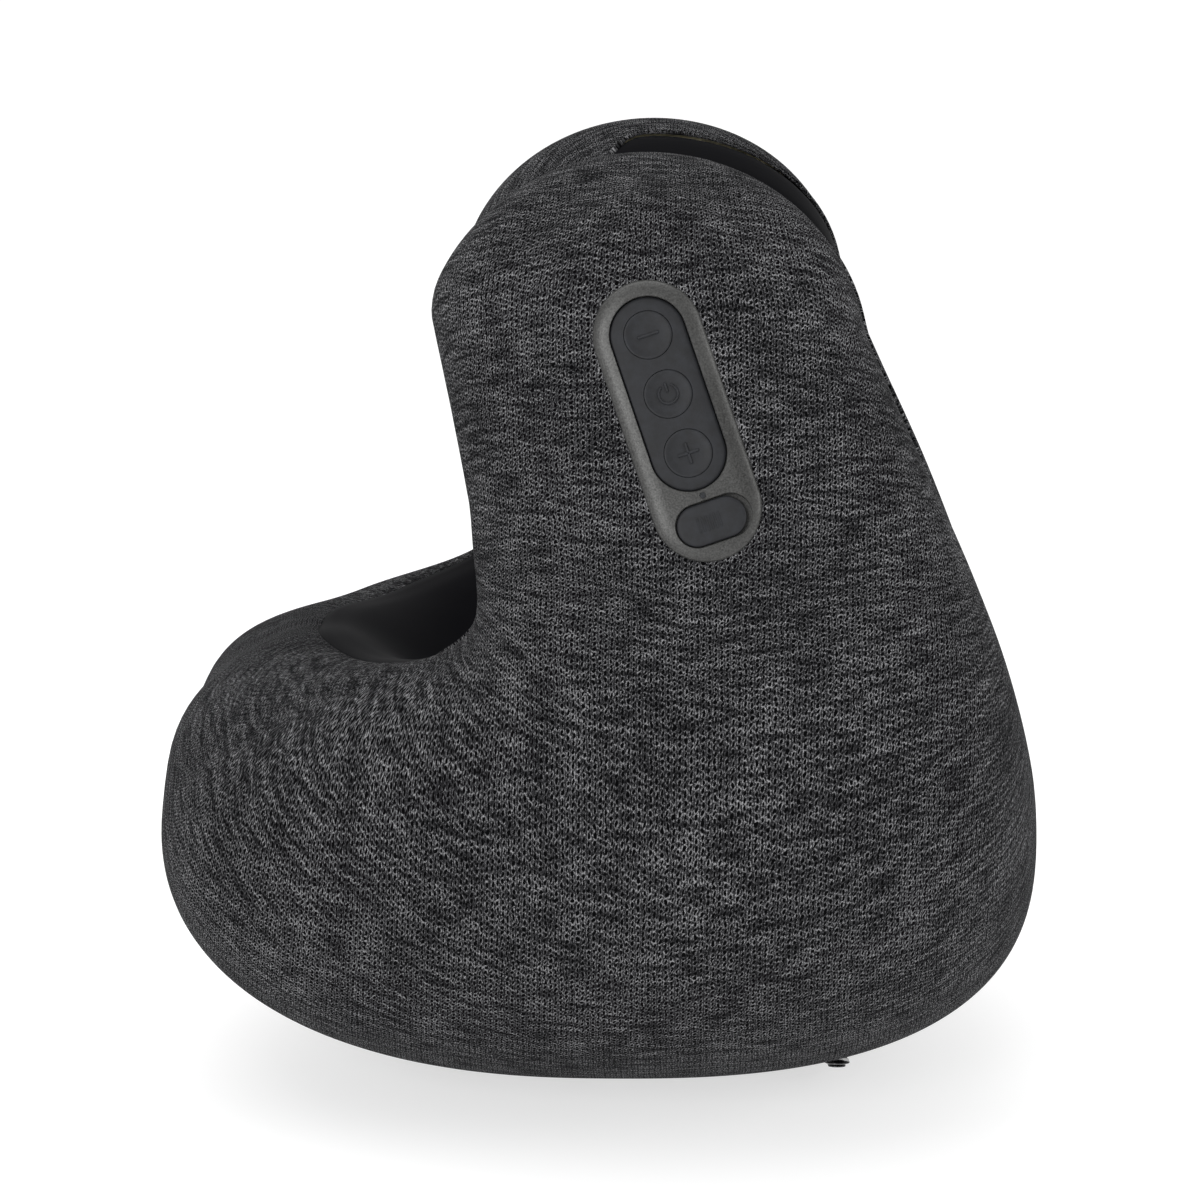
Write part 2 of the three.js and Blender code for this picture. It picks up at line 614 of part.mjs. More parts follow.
function makeGearHousing() {
  const midBlock = (x, y, z0, z1) => block(DRIVE_X - x, DRIVE_X + x, -y, y, WORM_Z + z0, WORM_Z + z1);
  let lower = solid(midBlock(HOUSING.half, 12, -10, 4.2));
  let upper = solid(midBlock(HOUSING.half, 4, 7.4, 10.4));
  for (const head of HEADS) {
    lower = lower.add(placed(wheelBlock(head, 0, HOUSING.low, HOUSING.split), head.frame));
    upper = upper.add(placed(wheelBlock(head, 0, HOUSING.split + FIT, HOUSING.high), head.frame));
  }
  const corner = HOUSING.half - 4.5;
  for (const head of HEADS) {
    lower = lower
      .subtract(placed(rod(WHEEL_R + 2, -5, 30, 28), head.frame))
      .subtract(placed(rod(4.3, -20, 0, 16), head.frame));
    upper = upper.subtract(placed(rod(6.5, 0, 20, 24), head.frame));
    for (const x of [-corner, corner]) {
      const hole = placed(rod(1.6, -3, 12, 10, x, head.side * corner), head.frame);
      lower = lower.subtract(hole);
      upper = upper.subtract(hole);
    }
  }
  lower = lower
    .subtract(solid(driveRod(7.5, -31, 31, 20)))
    .subtract(solid(midBlock(31, 7.5, 0, 12)))
    .subtract(solid(driveRod(2.9, -32.5, HOUSING.half + 1, 14)));
  addPiece(root, "gear_housing_lower", largest(lower), BLACK_PLASTIC);
  addPiece(root, "gear_housing_upper", largest(upper), BLACK_PLASTIC);
  for (const head of HEADS) {
    const group = groupAt(head.frame);
    [-corner, corner].forEach((x, i) => {
      const screw = solid(rod(2.4, HOUSING.high + FIT, HOUSING.high + 1.9, 12)).add(
        solid(rod(1.3, -2.5, HOUSING.high + 1, 10)),
      );
      addPiece(group, `housing_screw_${head.name}_${i + 1}`, screw, STEEL).position.set(x, head.side * corner, 0);
    });
    const bush = solid(rod(6.2, HOUSING.split + 0.6, HOUSING.high + 0.5, 24))
      .add(solid(rod(7.6, HOUSING.high + FIT, HOUSING.high + 1.3, 24)))
      .subtract(solid(rod(4.3, 0, 20, 20)));
    addPiece(group, `head_bush_${head.name}`, bush, BRASS);
  }
}

function makeMotor() {
  const front = HOUSING.half + 1;
  const can = solid(driveRod(MOTOR_R, front, front + 34, 28))
    .add(solid(driveRod(9, front + 33, front + 35.5, 20)))
    .subtract(solid(driveRod(1.9, front - 1, front + 6, 12)));
  addPiece(root, "motor_can", can, STEEL);
  const cap = solid(driveRod(MOTOR_R - 1, front + 34.3, front + 38, 28)).subtract(
    solid(driveRod(9.3, front + 34, front + 36, 20)),
  );
  addPiece(root, "motor_end_cap", cap, BLACK_PLASTIC);
}

// The worm: a turned profile of ridges between two journals, with the motor's shaft at one end.
function makeWorm() {
  const profile = [new THREE.Vector2(0, -32), new THREE.Vector2(2.6, -32), new THREE.Vector2(2.6, -26)];
  const ridges = 7;
  const pitch = 6;
  for (let i = 0; i < ridges; i++) {
    const y = (i - (ridges - 1) / 2) * pitch;
    profile.push(
      new THREE.Vector2(3.7, y - 1.6),
      new THREE.Vector2(WORM_R, y - 0.5),
      new THREE.Vector2(WORM_R, y + 0.5),
      new THREE.Vector2(3.7, y + 1.6),
    );
  }
  profile.push(
    new THREE.Vector2(2.6, 26),
    new THREE.Vector2(2.6, HOUSING.half - 0.5),
    new THREE.Vector2(1.6, HOUSING.half - 0.5),
    new THREE.Vector2(1.6, HOUSING.half + 5.5),
    new THREE.Vector2(0, HOUSING.half + 5.5),
  );
  const worm = addPiece(root, "drive_worm", new THREE.LatheGeometry(profile, 10), STEEL);
  worm.rotation.z = -Math.PI / 2;
  worm.position.set(DRIVE_X, 0, WORM_Z);
}

function wheelShape() {
  const teeth = 24;
  const shape = new THREE.Shape();
  const step = (2 * Math.PI) / teeth;
  for (let i = 0; i < teeth; i++) {
    for (const [share, radius] of [[-0.28, 28], [-0.14, WHEEL_R], [0.14, WHEEL_R], [0.28, 28]]) {
      const a = (i + share) * step;
      const [x, y] = [radius * Math.cos(a), radius * Math.sin(a)];
      if (i === 0 && share < -0.2) shape.moveTo(x, y);
      else shape.lineTo(x, y);
    }
  }
  return shape;
}

// One massage head: worm wheel, shaft, two-armed head plate and two nodes, all turning together.
function makeHead({ name, side, frame }) {
  const group = groupAt(frame);
  const wheel = solid(prism(wheelShape(), -3, 3)).subtract(solid(rod(4.3, -9, 9, 20)));
  addPiece(group, `worm_wheel_${name}`, wheel, ACETAL);
  addPiece(group, `head_shaft_${name}`, rod(4, -7.5, 12.6, 20), STEEL);
  const plate = solid(slot(-NODE_ORBIT, NODE_ORBIT, 7, 9.4, 12.4)).subtract(solid(rod(4.3, 0, 20, 20)));
  const arms = addPiece(group, `head_plate_${name}`, plate, BLACK_PLASTIC);
  arms.rotation.z = side > 0 ? 0 : Math.PI / 2;
  ["a", "b"].forEach((letter, i) => {
    const profile = [new THREE.Vector2(0, 12.7), new THREE.Vector2(6.5, 12.7)];
    for (let k = 0; k <= 6; k++) {
      const a = THREE.MathUtils.degToRad(-40 + (130 * k) / 6);
      profile.push(new THREE.Vector2(NODE_R * Math.cos(a), 19 + NODE_R * Math.sin(a)));
    }
    profile[profile.length - 1].x = 0;
    const node = new THREE.LatheGeometry(profile, 14).rotateX(Math.PI / 2);
    const ball = addPiece(arms, `massage_node_${name}_${letter}`, node, NODE_PLASTIC);
    ball.position.x = (i ? 1 : -1) * NODE_ORBIT;
  });
}

function drivePocket() {
  let pocket = solid(driveRod(MOTOR_R + 1, 30, HOUSING.half + 42, 28)).add(
    solid(block(DRIVE_X - 35, DRIVE_X + 35, -13, 13, WORM_Z - 11, WORM_Z + 12)),
  );
  for (const head of HEADS) {
    pocket = pocket
      .add(placed(wheelBlock(head, 1, HOUSING.low - 1, 9.4), head.frame))
      .add(placed(rod(29, 5, 70, 26), head.frame));
  }
  return pocket;
}

// ---------------------------------------------------------------- heating films under the lining
const FILM = { x0: 2, x1: 44, s0: 80, s1: 110, depth: 3.2, thick: 0.8 };
const filmSlab = (side, under, over) =>
  slab(
    [FILM.x0 - under, FILM.x1 + under, 4],
    [side * (FILM.s0 - under), side * (FILM.s1 + under), 5],
    () => -(ARM_INNER_PAD - FILM.depth) + under,
    () => -(ARM_INNER_PAD - FILM.depth) - FILM.thick - over,
  );

// ---------------------------------------------------------------- wiring
function harnessPoints() {
  return [
    local(panelFrame, 12, 0, TRAY_BOTTOM + 2),
    local(panelFrame, 12, 0, TRAY_BOTTOM - 2),
    local(panelFrame, 20, 0, TRAY_BOTTOM - 6),
    place(42, -112, 8),
    place(56, -88, 4),
    place(64, -58, 0),
    place(67, -28, -3),
    place(68, 0, -4),
    place(67, 28, -3),
    place(64, 58, 0),
    place(56, 84, 4),
    local(batteryFrame, BOX.x + 14, 0, -2.6),
    local(batteryFrame, BOX.x - 0.5, 0, -2.6),
  ];
}
const motorLeadPoints = () =>
  [
    [HOUSING.half + 40, 0, 6],
    [HOUSING.half + 41.4, 0, 7],
    [HOUSING.half + 40, 1.5, 14],
    [HOUSING.half + 34, 3, 20],
    [HOUSING.half + 25, 4.2, 23],
  ].map(([x, y, z]) => new THREE.Vector3(DRIVE_X + x, y, WORM_Z + z));
const harness = (grow) => tube(harnessPoints(), 2.2 + grow, 40, 6);
const motorLead = (grow) => tube(motorLeadPoints(), 1.1 + grow, 10, 6);

// ---------------------------------------------------------------- zip under the bend
const zipSurface = (x, s) => outerPad(x, s, shoulderShare(x, s), SHOULDER_SWELL);
const zipS = (degrees) => MID_R * THREE.MathUtils.degToRad(degrees);
const zipSlab = (grow, under) =>
  slab(
    [ZIP.x - 2.5 - grow, ZIP.x + 2.5 + grow, 2],
    [zipS(ZIP.from) - grow, zipS(ZIP.to) + grow, 14],
    (x, s) => zipSurface(x, s) - 1.4 - under,
    (x, s) => zipSurface(x, s) + 0.2 + grow,
  );

function makeZip() {
  addPiece(root, "zip_chain", zipSlab(0, 0), BLACK_PLASTIC);
  const s = zipS(ZIP.slider);
  const at = station(s);
  const n = zipSurface(ZIP.x, s);
  const group = groupAt(frameAt(place(ZIP.x, s, n), new THREE.Vector3(0, at.ny, at.nz)));
  const body = solid(slot(-3.2, 3.2, 3.1, 0.9, 1.4).rotateZ(Math.PI / 2)).add(solid(block(-1, 1, -2.5, 2.5, 1.3, 1.7)));
  addPiece(group, "zip_slider", body, BLACK_PLASTIC);
  const pull = solid(slot(-5, 5, 2.2, 2, 2.5).rotateZ(Math.PI / 2).translate(0, 4, 0));
  addPiece(group, "zip_pull", pull, BLACK_PLASTIC);
}

// ---------------------------------------------------------------- pillow: cover, lining and foam
function makePillow() {
  const last = RINGS.length - 1;
  const whole = solid(geometryOfFaces(meshOfRings(RINGS)));
  const restPatch = whole.trimByPlane([0, 0, 1], 0).trimByPlane([0, 0, -1], -SKIN);
  const cover = solid(skin(0, COVER_LAST))
    .trimByPlane([0, 0, 1], 0)
    .add(restPatch)
    .subtract(panelPocket())
    .subtract(panelRecess())
    .subtract(solid(zipSlab(FIT, 3)));
  addPiece(root, "knit_cover", largest(cover), FABRIC);
  addPiece(root, "neck_lining", skin(COVER_LAST + 1, last), LINING);
  let foam = solid(geometryOfFaces(meshOfRings(insetRings(SKIN + FIT, 0, last))))
    .trimByPlane([0, 0, 1], SKIN + FIT)
    .subtract(panelPocket())
    .subtract(batteryPocket())
    .subtract(drivePocket())
    .subtract(solid(harness(1)))
    .subtract(solid(motorLead(0.8)))
    .subtract(solid(zipSlab(FIT, FIT)));
  for (const side of [-1, 1]) foam = foam.subtract(solid(filmSlab(side, FIT, 12)));
  addPiece(root, "foam_core", largest(foam), FOAM);
}

makePillow();
makeZip();
makePanel();
makeBattery();
makeGearHousing();
makeMotor();
makeWorm();
HEADS.forEach(makeHead);
addPiece(root, "heating_film_near", filmSlab(-1, 0, 0), HEATER);
addPiece(root, "heating_film_far", filmSlab(1, 0, 0), HEATER);
addPiece(root, "wiring_harness", harness(0), BLACK_PLASTIC);
addPiece(root, "motor_lead", motorLead(0), BLACK_PLASTIC);

export default root;
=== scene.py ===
# A cordless kneading neck massager: a U-shaped foam pillow in a charcoal melange knit, with a smooth black
# lining where the neck lies, a slot-shaped control panel on the near arm and a short zip under the bend.
# Metres, +Z up, the near arm at -Y. Every piece is finished at the origin with its place in its mesh.
import json
import math

import bmesh
import bpy
import numpy as np
from mathutils import Matrix, Vector


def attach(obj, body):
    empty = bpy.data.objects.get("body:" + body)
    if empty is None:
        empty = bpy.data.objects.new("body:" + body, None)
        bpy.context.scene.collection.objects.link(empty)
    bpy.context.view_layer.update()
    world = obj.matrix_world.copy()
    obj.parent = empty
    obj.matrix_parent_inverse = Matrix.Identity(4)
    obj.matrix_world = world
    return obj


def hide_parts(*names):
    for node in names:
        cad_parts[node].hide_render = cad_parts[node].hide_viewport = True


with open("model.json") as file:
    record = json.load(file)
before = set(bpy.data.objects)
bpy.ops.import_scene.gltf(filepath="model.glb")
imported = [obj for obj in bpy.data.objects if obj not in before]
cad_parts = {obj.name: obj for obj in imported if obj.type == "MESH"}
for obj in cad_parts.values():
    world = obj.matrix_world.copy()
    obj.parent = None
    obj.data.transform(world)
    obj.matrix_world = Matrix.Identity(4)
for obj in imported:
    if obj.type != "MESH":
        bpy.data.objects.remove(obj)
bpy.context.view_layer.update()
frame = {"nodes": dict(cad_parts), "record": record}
MM = 0.001

# ---------------------------------------------------------------- studio
# A matt white sweep under a wide soft box, with weaker ones in front and at the side: the flat and nearly
# shadowless light of a shop window. The lens is a short telephoto a little above the middle of the pillow.
CAMERA_TARGET = Vector((0, 0, 0.1165))
LIGHTS_TARGET = Vector((0, 0, 0.11))
CAMERA_DISTANCE = 0.9
CAMERA_AZIMUTH, CAMERA_ELEVATION = math.radians(1.5), math.radians(11)


def linear(code):
    """An sRGB hex colour as linear RGBA."""
    parts = [int(code[i : i + 2], 16) / 255 for i in (0, 2, 4)]
    return (*[p / 12.92 if p <= 0.04045 else ((p + 0.055) / 1.055) ** 2.4 for p in parts], 1.0)


def add_node(tree, kind, *inputs, **settings):
    """A shader node with its settings. Inputs come in order, or as a dict by name, and a node given as an
    input stands for its first output."""
    made = tree.nodes.new(kind)
    for key, value in settings.items():
        setattr(made, key, value)
    named = {}
    for place, given in enumerate(inputs):
        named.update(given if isinstance(given, dict) else {place: given})
    for key, value in named.items():
        if isinstance(value, bpy.types.Node):
            value = value.outputs[0]
        if isinstance(value, bpy.types.NodeSocket):
            tree.links.new(value, made.inputs[key])
        else:
            made.inputs[key].default_value = value
    return made


def new_material(name):
    material = bpy.data.materials.new(name)
    material.use_nodes = True
    material.node_tree.nodes.clear()
    return material, material.node_tree


def finish_material(tree, **inputs):
    """The Principled shader and the output, with each input named with _ for a space."""
    shader = add_node(tree, "ShaderNodeBsdfPrincipled", {k.replace("_", " "): v for k, v in inputs.items()})
    add_node(tree, "ShaderNodeOutputMaterial", {"Surface": shader})


toward = Vector(
    (
        math.sin(CAMERA_AZIMUTH) * math.cos(CAMERA_ELEVATION),
        -math.cos(CAMERA_AZIMUTH) * math.cos(CAMERA_ELEVATION),
        math.sin(CAMERA_ELEVATION),
    )
)
bpy.ops.object.select_all(action="DESELECT")
bpy.ops.object.camera_add(location=CAMERA_TARGET + toward * CAMERA_DISTANCE)
camera = bpy.context.object
camera.rotation_mode = "QUATERNION"
camera.rotation_quaternion = (-toward).to_track_quat("-Z", "Y")
camera.data.sensor_width = 36
camera.data.lens = 108
camera.data.clip_start = 0.01
bpy.context.scene.camera = camera

for name, place, size, watts in (
    ("overhead_soft_box", (-0.2, -0.1, 1.2), (1.2, 1.2), 7),
    ("front_soft_box", (-0.6, -1.4, 0.5), (0.6, 0.8), 11),
    ("side_soft_box", (1.3, -0.6, 0.6), (0.7, 0.9), 6),
):
    bpy.ops.object.light_add(type="AREA", location=place)
    light = bpy.context.object
    light.name = name
    light.data.shape = "RECTANGLE"
    light.data.size, light.data.size_y = size
    light.data.energy = watts
    light.rotation_mode = "QUATERNION"
    light.rotation_quaternion = (LIGHTS_TARGET - Vector(place)).to_track_quat("-Z", "Y")

world = bpy.data.worlds.new("studio_air")
world.use_nodes = True
sky = world.node_tree
looking = add_node(sky, "ShaderNodeSeparateXYZ", add_node(sky, "ShaderNodeTexCoord").outputs["Generated"])
dimmer_in_front = add_node(
    sky,
    "ShaderNodeMapRange",
    {"Value": looking.outputs["Y"], "From Min": -0.7, "From Max": 0.6, "To Min": 0.45, "To Max": 1.03},
)
# The air is white where it is looked at past the sweep's far edge.
seen_directly = add_node(sky, "ShaderNodeLightPath").outputs["Is Camera Ray"]
strength = add_node(sky, "ShaderNodeMath", dimmer_in_front, seen_directly, operation="MAXIMUM")
sky.links.new(strength.outputs[0], sky.nodes["Background"].inputs["Strength"])
sky.nodes["Background"].inputs["Color"].default_value = (1, 1, 1, 1)
bpy.context.scene.world = world
bpy.context.scene.view_settings.view_transform = "Standard"

bpy.ops.mesh.primitive_plane_add(size=30, location=(0, 0, -0.0002))
floor = bpy.context.object
floor.name = "white_sweep"
sweep_paint, tree = new_material("matt_white_sweep")
finish_material(
    tree, Base_Color=(0.5, 0.5, 0.5, 1), Roughness=0.9, Emission_Color=(1, 1, 1, 1), Emission_Strength=0.62
)
floor.data.materials.append(sweep_paint)

# ---------------------------------------------------------------- knitted cover
# A fine rib knit of charcoal melange yarn, sewn to shape and pulled tight over the foam. It turns in at the
# neck, where the lining is stitched to it, and is tucked under the control panel's flange all round.
# The pillow is laid out flat: x along the neck, s round the neck from the bend's centre, n outwards.
MID_R, NECK_Z, ARM_R = 76.0, 136.0, 165.0  # millimetres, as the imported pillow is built
BEND_PAD, ARM_PAD, CHANNEL_PAD, ARM_INNER_PAD = 61.4, 34.0, 22.0, 15.0
BEND_FLAT_S, ARM_START_S, REST_TOP, REST_FROM, REST_TO = 38.0, 112.0, 18.0, -78.0, -12.0
HEAD_SWELL, SHOULDER_SWELL = 2.3, 2.64
QUARTER = MID_R * math.pi / 2
HEAD_EDGE = [
    (-106.6, 0, 0.645),
    (-101.3, 56, 0.67),
    (-67, 85.6, 0.83),
    (-28.9, 105.4, 0.97),
    (-27.5, 130, 0.87),
    (-31.8, 158, 0.72),
    (-37.2, 180, 0.58),
]
SHOULDER_EDGE = [
    (108.7, 0, 0.84),
    (107.2, 34, 0.84),
    (103.2, 68, 0.86),
    (95.9, 98, 0.92),
    (86.3, 123, 0.965),
    (73.8, 149, 0.99),
    (62.4, 174.5, 1.004),
]
SPINE = [(-2, 0, 0), (2, 31, 0), (12, 60, 0), (26, 90, 0), (29, 115, 0), (24, 142, 0), (15, 169, 0)]
TIP_X, TIP_S, TIP_RX, TIP_RS, TIP_FROM, TIP_TO, TIP_SEAM = 11.5, 170.0, 51.0, 45.5, 166.0, 6.0, 1.004
PANEL_X, PANEL_S, PANEL_TURN, PANEL_HALF, PANEL_R = 19.6, -153.5, math.radians(-70.9), 19.75, 12.07
ZIP_X, ZIP_FROM, ZIP_TO = 59.5, -14.0, 27.0  # millimetres, and degrees round the neck
ALONG, UP = Vector((0.327218, -0.194011, -0.924818)), Vector((0.944949, 0.067182, 0.320247))
OUT = ALONG.cross(UP)
HINGE = Vector((0.019726, -0.112456, 0.153221))
FLAP_X, FLAP_HINGE_UP, FLAP_HINGE_OUT = 23.2, -7.9, 1.7  # the hinge point in the panel's own frame
PANEL_ORIGIN = HINGE - (FLAP_X * ALONG + FLAP_HINGE_UP * UP + FLAP_HINGE_OUT * OUT) * MM
PANEL_FRAME = Matrix.Translation(PANEL_ORIGIN) @ Matrix((ALONG, UP, OUT)).transposed().to_4x4()
SIDE_STEPS, TIP_STEPS, OUTER_RINGS, HEM_RINGS = 58, 30, 32, 12
KNIT_THICK, SEAM_TUCK = 1.0, 0.8
SLACK = 0.35  # the cloth is made this much under size, and pressed out again by the padding
FLAT_BELOW, STANDS_BELOW = 2.0, 4.0  # full size below the first height, held still below the second
PRESS_STEPS, PADDING_PRESS, CLOTH_STIFF = 16, 4, 30
WALE, COURSE = 1.35, 1.12  # millimetres between the columns and between the rows of stitches
HOLE_WIDE, HOLE_HIGH = 0.27, 0.46  # the hole in each loop, painted dark as shade, as half shares of its column and row
PULLED_AND_HIGHLIT_FROM, PULLED_AND_HIGHLIT_TO, PULLED_AND_HIGHLIT_PALER = 12.0, 13.8, 1.35  # loops stretched pale, with a painted highlight on them, from the panel's middle line
WELT_HIGH, WELT_OUT, WELT_WIDE = 0.3, 3.4, 1.8  # the cloth's rise round the panel, outside its edge
PINCH_DEEP, PINCH_WIDE = 0.25, 1.2  # and its dip at the flange
GROOVE_DEEP, GROOVE_HALF, GROOVE_RUN_OUT = 1.7, 4.2, 1.5  # the zip's groove; it runs out over these degrees


def smooth_step(value, low, high):
    t = np.clip((value - low) / (high - low), 0, 1)
    return t * t * (3 - 2 * t)


def half_curve(points, t):
    """The point at share t of a centripetal Catmull-Rom line that crosses the bend's centre squarely."""
    points = [np.array(p, float) for p in points]
    points = [points[1] * (1, -1, 1), *points]
    reach = 1 + t * (len(points) - 2)
    i = min(int(reach), len(points) - 2)
    before, start, end = points[i - 1], points[i], points[i + 1]
    after = points[i + 2] if i + 2 < len(points) else 2 * end - start
    spans = ((before, start), (start, end), (end, after))
    d0, d1, d2 = [max(np.linalg.norm(b - a), 1e-4) ** 0.5 for a, b in spans]
    leave = ((start - before) / d0 - (end - before) / (d0 + d1) + (end - start) / d1) * d1
    arrive = ((end - start) / d1 - (after - start) / (d1 + d2) + (after - end) / d2) * d1
    w = reach - i
    bend = (3 * (end - start) - 2 * leave - arrive) * w**2 + (2 * (start - end) + leave + arrive) * w**3
    return start + leave * w + bend


def half_outline():
    """One half's outline: edge x, s and seam share, spine x and s, and the swelling's power."""
    rows = []
    for i in range(SIDE_STEPS + 1):
        t = i / SIDE_STEPS
        rows.append((*half_curve(HEAD_EDGE, t), *half_curve(SPINE, t)[:2], HEAD_SWELL))
    for i in range(1, TIP_STEPS):
        f = i / TIP_STEPS
        a = math.radians(TIP_FROM + (TIP_TO - TIP_FROM) * f)
        share = HEAD_EDGE[-1][2] + (TIP_SEAM - HEAD_EDGE[-1][2]) * float(smooth_step(f, 0, 0.45))
        edge = (TIP_X + TIP_RX * math.cos(a), TIP_S + TIP_RS * math.sin(a), share)
        rows.append((*edge, *SPINE[-1][:2], HEAD_SWELL + (SHOULDER_SWELL - HEAD_SWELL) * f))
    for i in range(SIDE_STEPS, -1, -1):
        t = i / SIDE_STEPS
        rows.append((*half_curve(SHOULDER_EDGE, t), *half_curve(SPINE, t)[:2], SHOULDER_SWELL))
    return np.array(rows)


def lay_round_neck(x, s, n):
    """Points of the flat layout put in their place round the neck, in metres, and none below the floor."""
    side, a = np.where(s < 0, -1.0, 1.0), np.abs(s)
    bend, arm, on_arm = a / MID_R, (a - QUARTER) / ARM_R, a > QUARTER
    y = np.where(on_arm, MID_R - ARM_R * (1 - np.cos(arm)), MID_R * np.sin(bend))
    z = np.where(on_arm, NECK_Z + ARM_R * np.sin(arm), NECK_Z - MID_R * np.cos(bend))
    out_y, out_z = np.where(on_arm, np.cos(arm), np.sin(bend)), np.where(on_arm, np.sin(arm), -np.cos(bend))
    return np.stack([x + 0 * s, side * (y + n * out_y), np.maximum(z + n * out_z, 0)], axis=-1) * MM


def from_panel(x, s):
    """Distance outside the control panel's edge on the flat layout, less than 0 under the panel."""
    dx, ds = x - PANEL_X, PANEL_S - s
    along = dx * math.cos(PANEL_TURN) + ds * math.sin(PANEL_TURN)
    across = -dx * math.sin(PANEL_TURN) + ds * math.cos(PANEL_TURN)
    return np.hypot(np.maximum(0, np.abs(along) - PANEL_HALF), across) - PANEL_R


def outer_swell(x, s, share, power):
    """Padding outside the middle surface, with the panel's flat seat on the near arm."""
    thick = ARM_PAD + (BEND_PAD - ARM_PAD) * (1 - smooth_step(np.abs(s), BEND_FLAT_S, ARM_START_S))
    n = thick * np.maximum(0, 1 - share**power) ** (1 / power)
    flat = (ARM_R + ARM_PAD) / np.cos((s - PANEL_S) / ARM_R) - ARM_R
    return n + (flat - n) * np.where(s < 0, 1 - smooth_step(from_panel(x, s), 0, 20), 0)


def inner_swell(x, s, share):
    """Padding towards the neck: a channel behind the neck, and a rest that fills it at the head end."""
    angle = np.minimum(np.abs(s), QUARTER) / MID_R
    rest = np.maximum(ARM_INNER_PAD, MID_R - REST_TOP / np.maximum(np.cos(angle), 0.2))
    channel = ARM_INNER_PAD + (CHANNEL_PAD - ARM_INNER_PAD) * (1 - smooth_step(angle, 0.3, 1.4))
    thick = rest + (channel - rest) * smooth_step(x, REST_FROM, REST_TO)
    return thick * np.maximum(0, 1 - share**3) ** (1 / 3)


far_half = half_outline()
OUTLINE = np.concatenate([far_half, far_half[1:-1][::-1] * (1, -1, 1, 1, -1, 1)])
# The seam's place, as a share of the way from the spine to the edge on the neck side. Where it is over 1, the
# seam has passed over the edge to the outer side. Turns round the roll go from 0 at the spine outside to pi at
# the spine inside.
SEAM = OUTLINE[:, 2]
SEAM_TURN = np.where(SEAM > 1, np.arcsin(2 - np.maximum(SEAM, 1)), np.pi - np.arcsin(np.minimum(SEAM, 1)))
ROLL_TURN = np.minimum(SEAM_TURN, np.pi / 2)
OVER_ROLL = smooth_step(SEAM, 0.985, 1.0)  # how far the seam's tuck points inwards from the edge


def spread(shares):
    """The flat layout's x and s for rings that lie at these shares of the way from spine to edge."""
    edge_x, edge_s, _, spine_x, spine_s, _ = OUTLINE.T
    return spine_x + (edge_x - spine_x) * shares, spine_s + (edge_s - spine_s) * shares


def cloth_over(name, x, s, n):
    """Rings of points round the pillow as a cloth, with its threads laid out in millimetres as a UV map."""
    points = lay_round_neck(x, s, n)
    steps = np.linalg.norm(np.diff(points, axis=0), axis=2) / MM
    run = np.concatenate([np.zeros((1, points.shape[1])), np.cumsum(steps, axis=0)])
    edge_x, edge_s, _, spine_x, spine_s, _ = OUTLINE.T
    way = np.stack([edge_x - spine_x, edge_s - spine_s])
    way /= np.linalg.norm(way, axis=0)
    angle = np.minimum(np.abs(spine_s), QUARTER) / MID_R
    centre = ARM_PAD + (BEND_PAD - ARM_PAD) * (1 - smooth_step(np.abs(spine_s), BEND_FLAT_S, ARM_START_S))
    base = angle * (MID_R + centre) + np.maximum(np.abs(spine_s) - QUARTER, 0) * (1 + centre / ARM_R)
    shear = 0.6 * (1 - smooth_step(np.abs(spine_s), 55, 118)) * angle * (centre - np.maximum(n, 0))
    side = np.where(OUTLINE[:, 1] < 0, -1.0, 1.0)
    threads = np.stack([spine_x + run * way[0], side * (base - shear) + run * way[1]], axis=-1)
    rows, count = x.shape
    faces = [
        (i * count + j, (i + 1) * count + j, (i + 1) * count + (j + 1) % count, i * count + (j + 1) % count)
        for i in range(rows - 1)
        for j in range(count)
    ]
    mesh = bpy.data.meshes.new(name)
    mesh.from_pydata(points.reshape(-1, 3).tolist(), [], faces)
    corners = np.empty(len(mesh.loops), dtype=np.int32)
    mesh.loops.foreach_get("vertex_index", corners)
    mesh.uv_layers.new(name="threads").data.foreach_set("uv", threads.reshape(-1, 2)[corners].ravel())
    made = bpy.data.objects.new(name, mesh)
    bpy.context.collection.objects.link(made)
    shape = bmesh.new()
    shape.from_mesh(mesh)
    bmesh.ops.remove_doubles(shape, verts=shape.verts, dist=2e-6)
    bmesh.ops.recalc_face_normals(shape, faces=shape.faces)
    shape.to_mesh(mesh)
    shape.free()
    return made


def pick(made):
    """Makes a piece the only one selected, and the active one."""
    bpy.ops.object.select_all(action="DESELECT")
    bpy.context.view_layer.objects.active = made
    made.select_set(True)


def apply_modifier(made, kind, **settings):
    modifier = made.modifiers.new(kind.lower(), kind)
    for key, value in settings.items():
        setattr(modifier, key, value)
    pick(made)
    bpy.ops.object.modifier_apply(modifier=modifier.name)


def thicken(made, thick):
    """A cloth's thickness, inwards from its face, and one level of smoothing."""
    apply_modifier(made, "SOLIDIFY", thickness=thick * MM, offset=-1)
    apply_modifier(made, "SUBSURF", levels=1, render_levels=1)
    bpy.ops.object.shade_smooth()


def round_the_roll(turns, tuck):
    """The flat layout's x, s and n at these turns round the roll, pushed into the padding by tuck."""
    shares = np.sin(turns)
    edge_length = np.hypot(OUTLINE[:, 0] - OUTLINE[:, 3], OUTLINE[:, 1] - OUTLINE[:, 4])
    x, s = spread(shares - OVER_ROLL * tuck / edge_length)
    outside = outer_swell(x, s, shares, OUTLINE[:, 5])
    return x, s, np.where(turns < np.pi / 2, outside, (1 - OVER_ROLL) * tuck - inner_swell(x, s, shares))


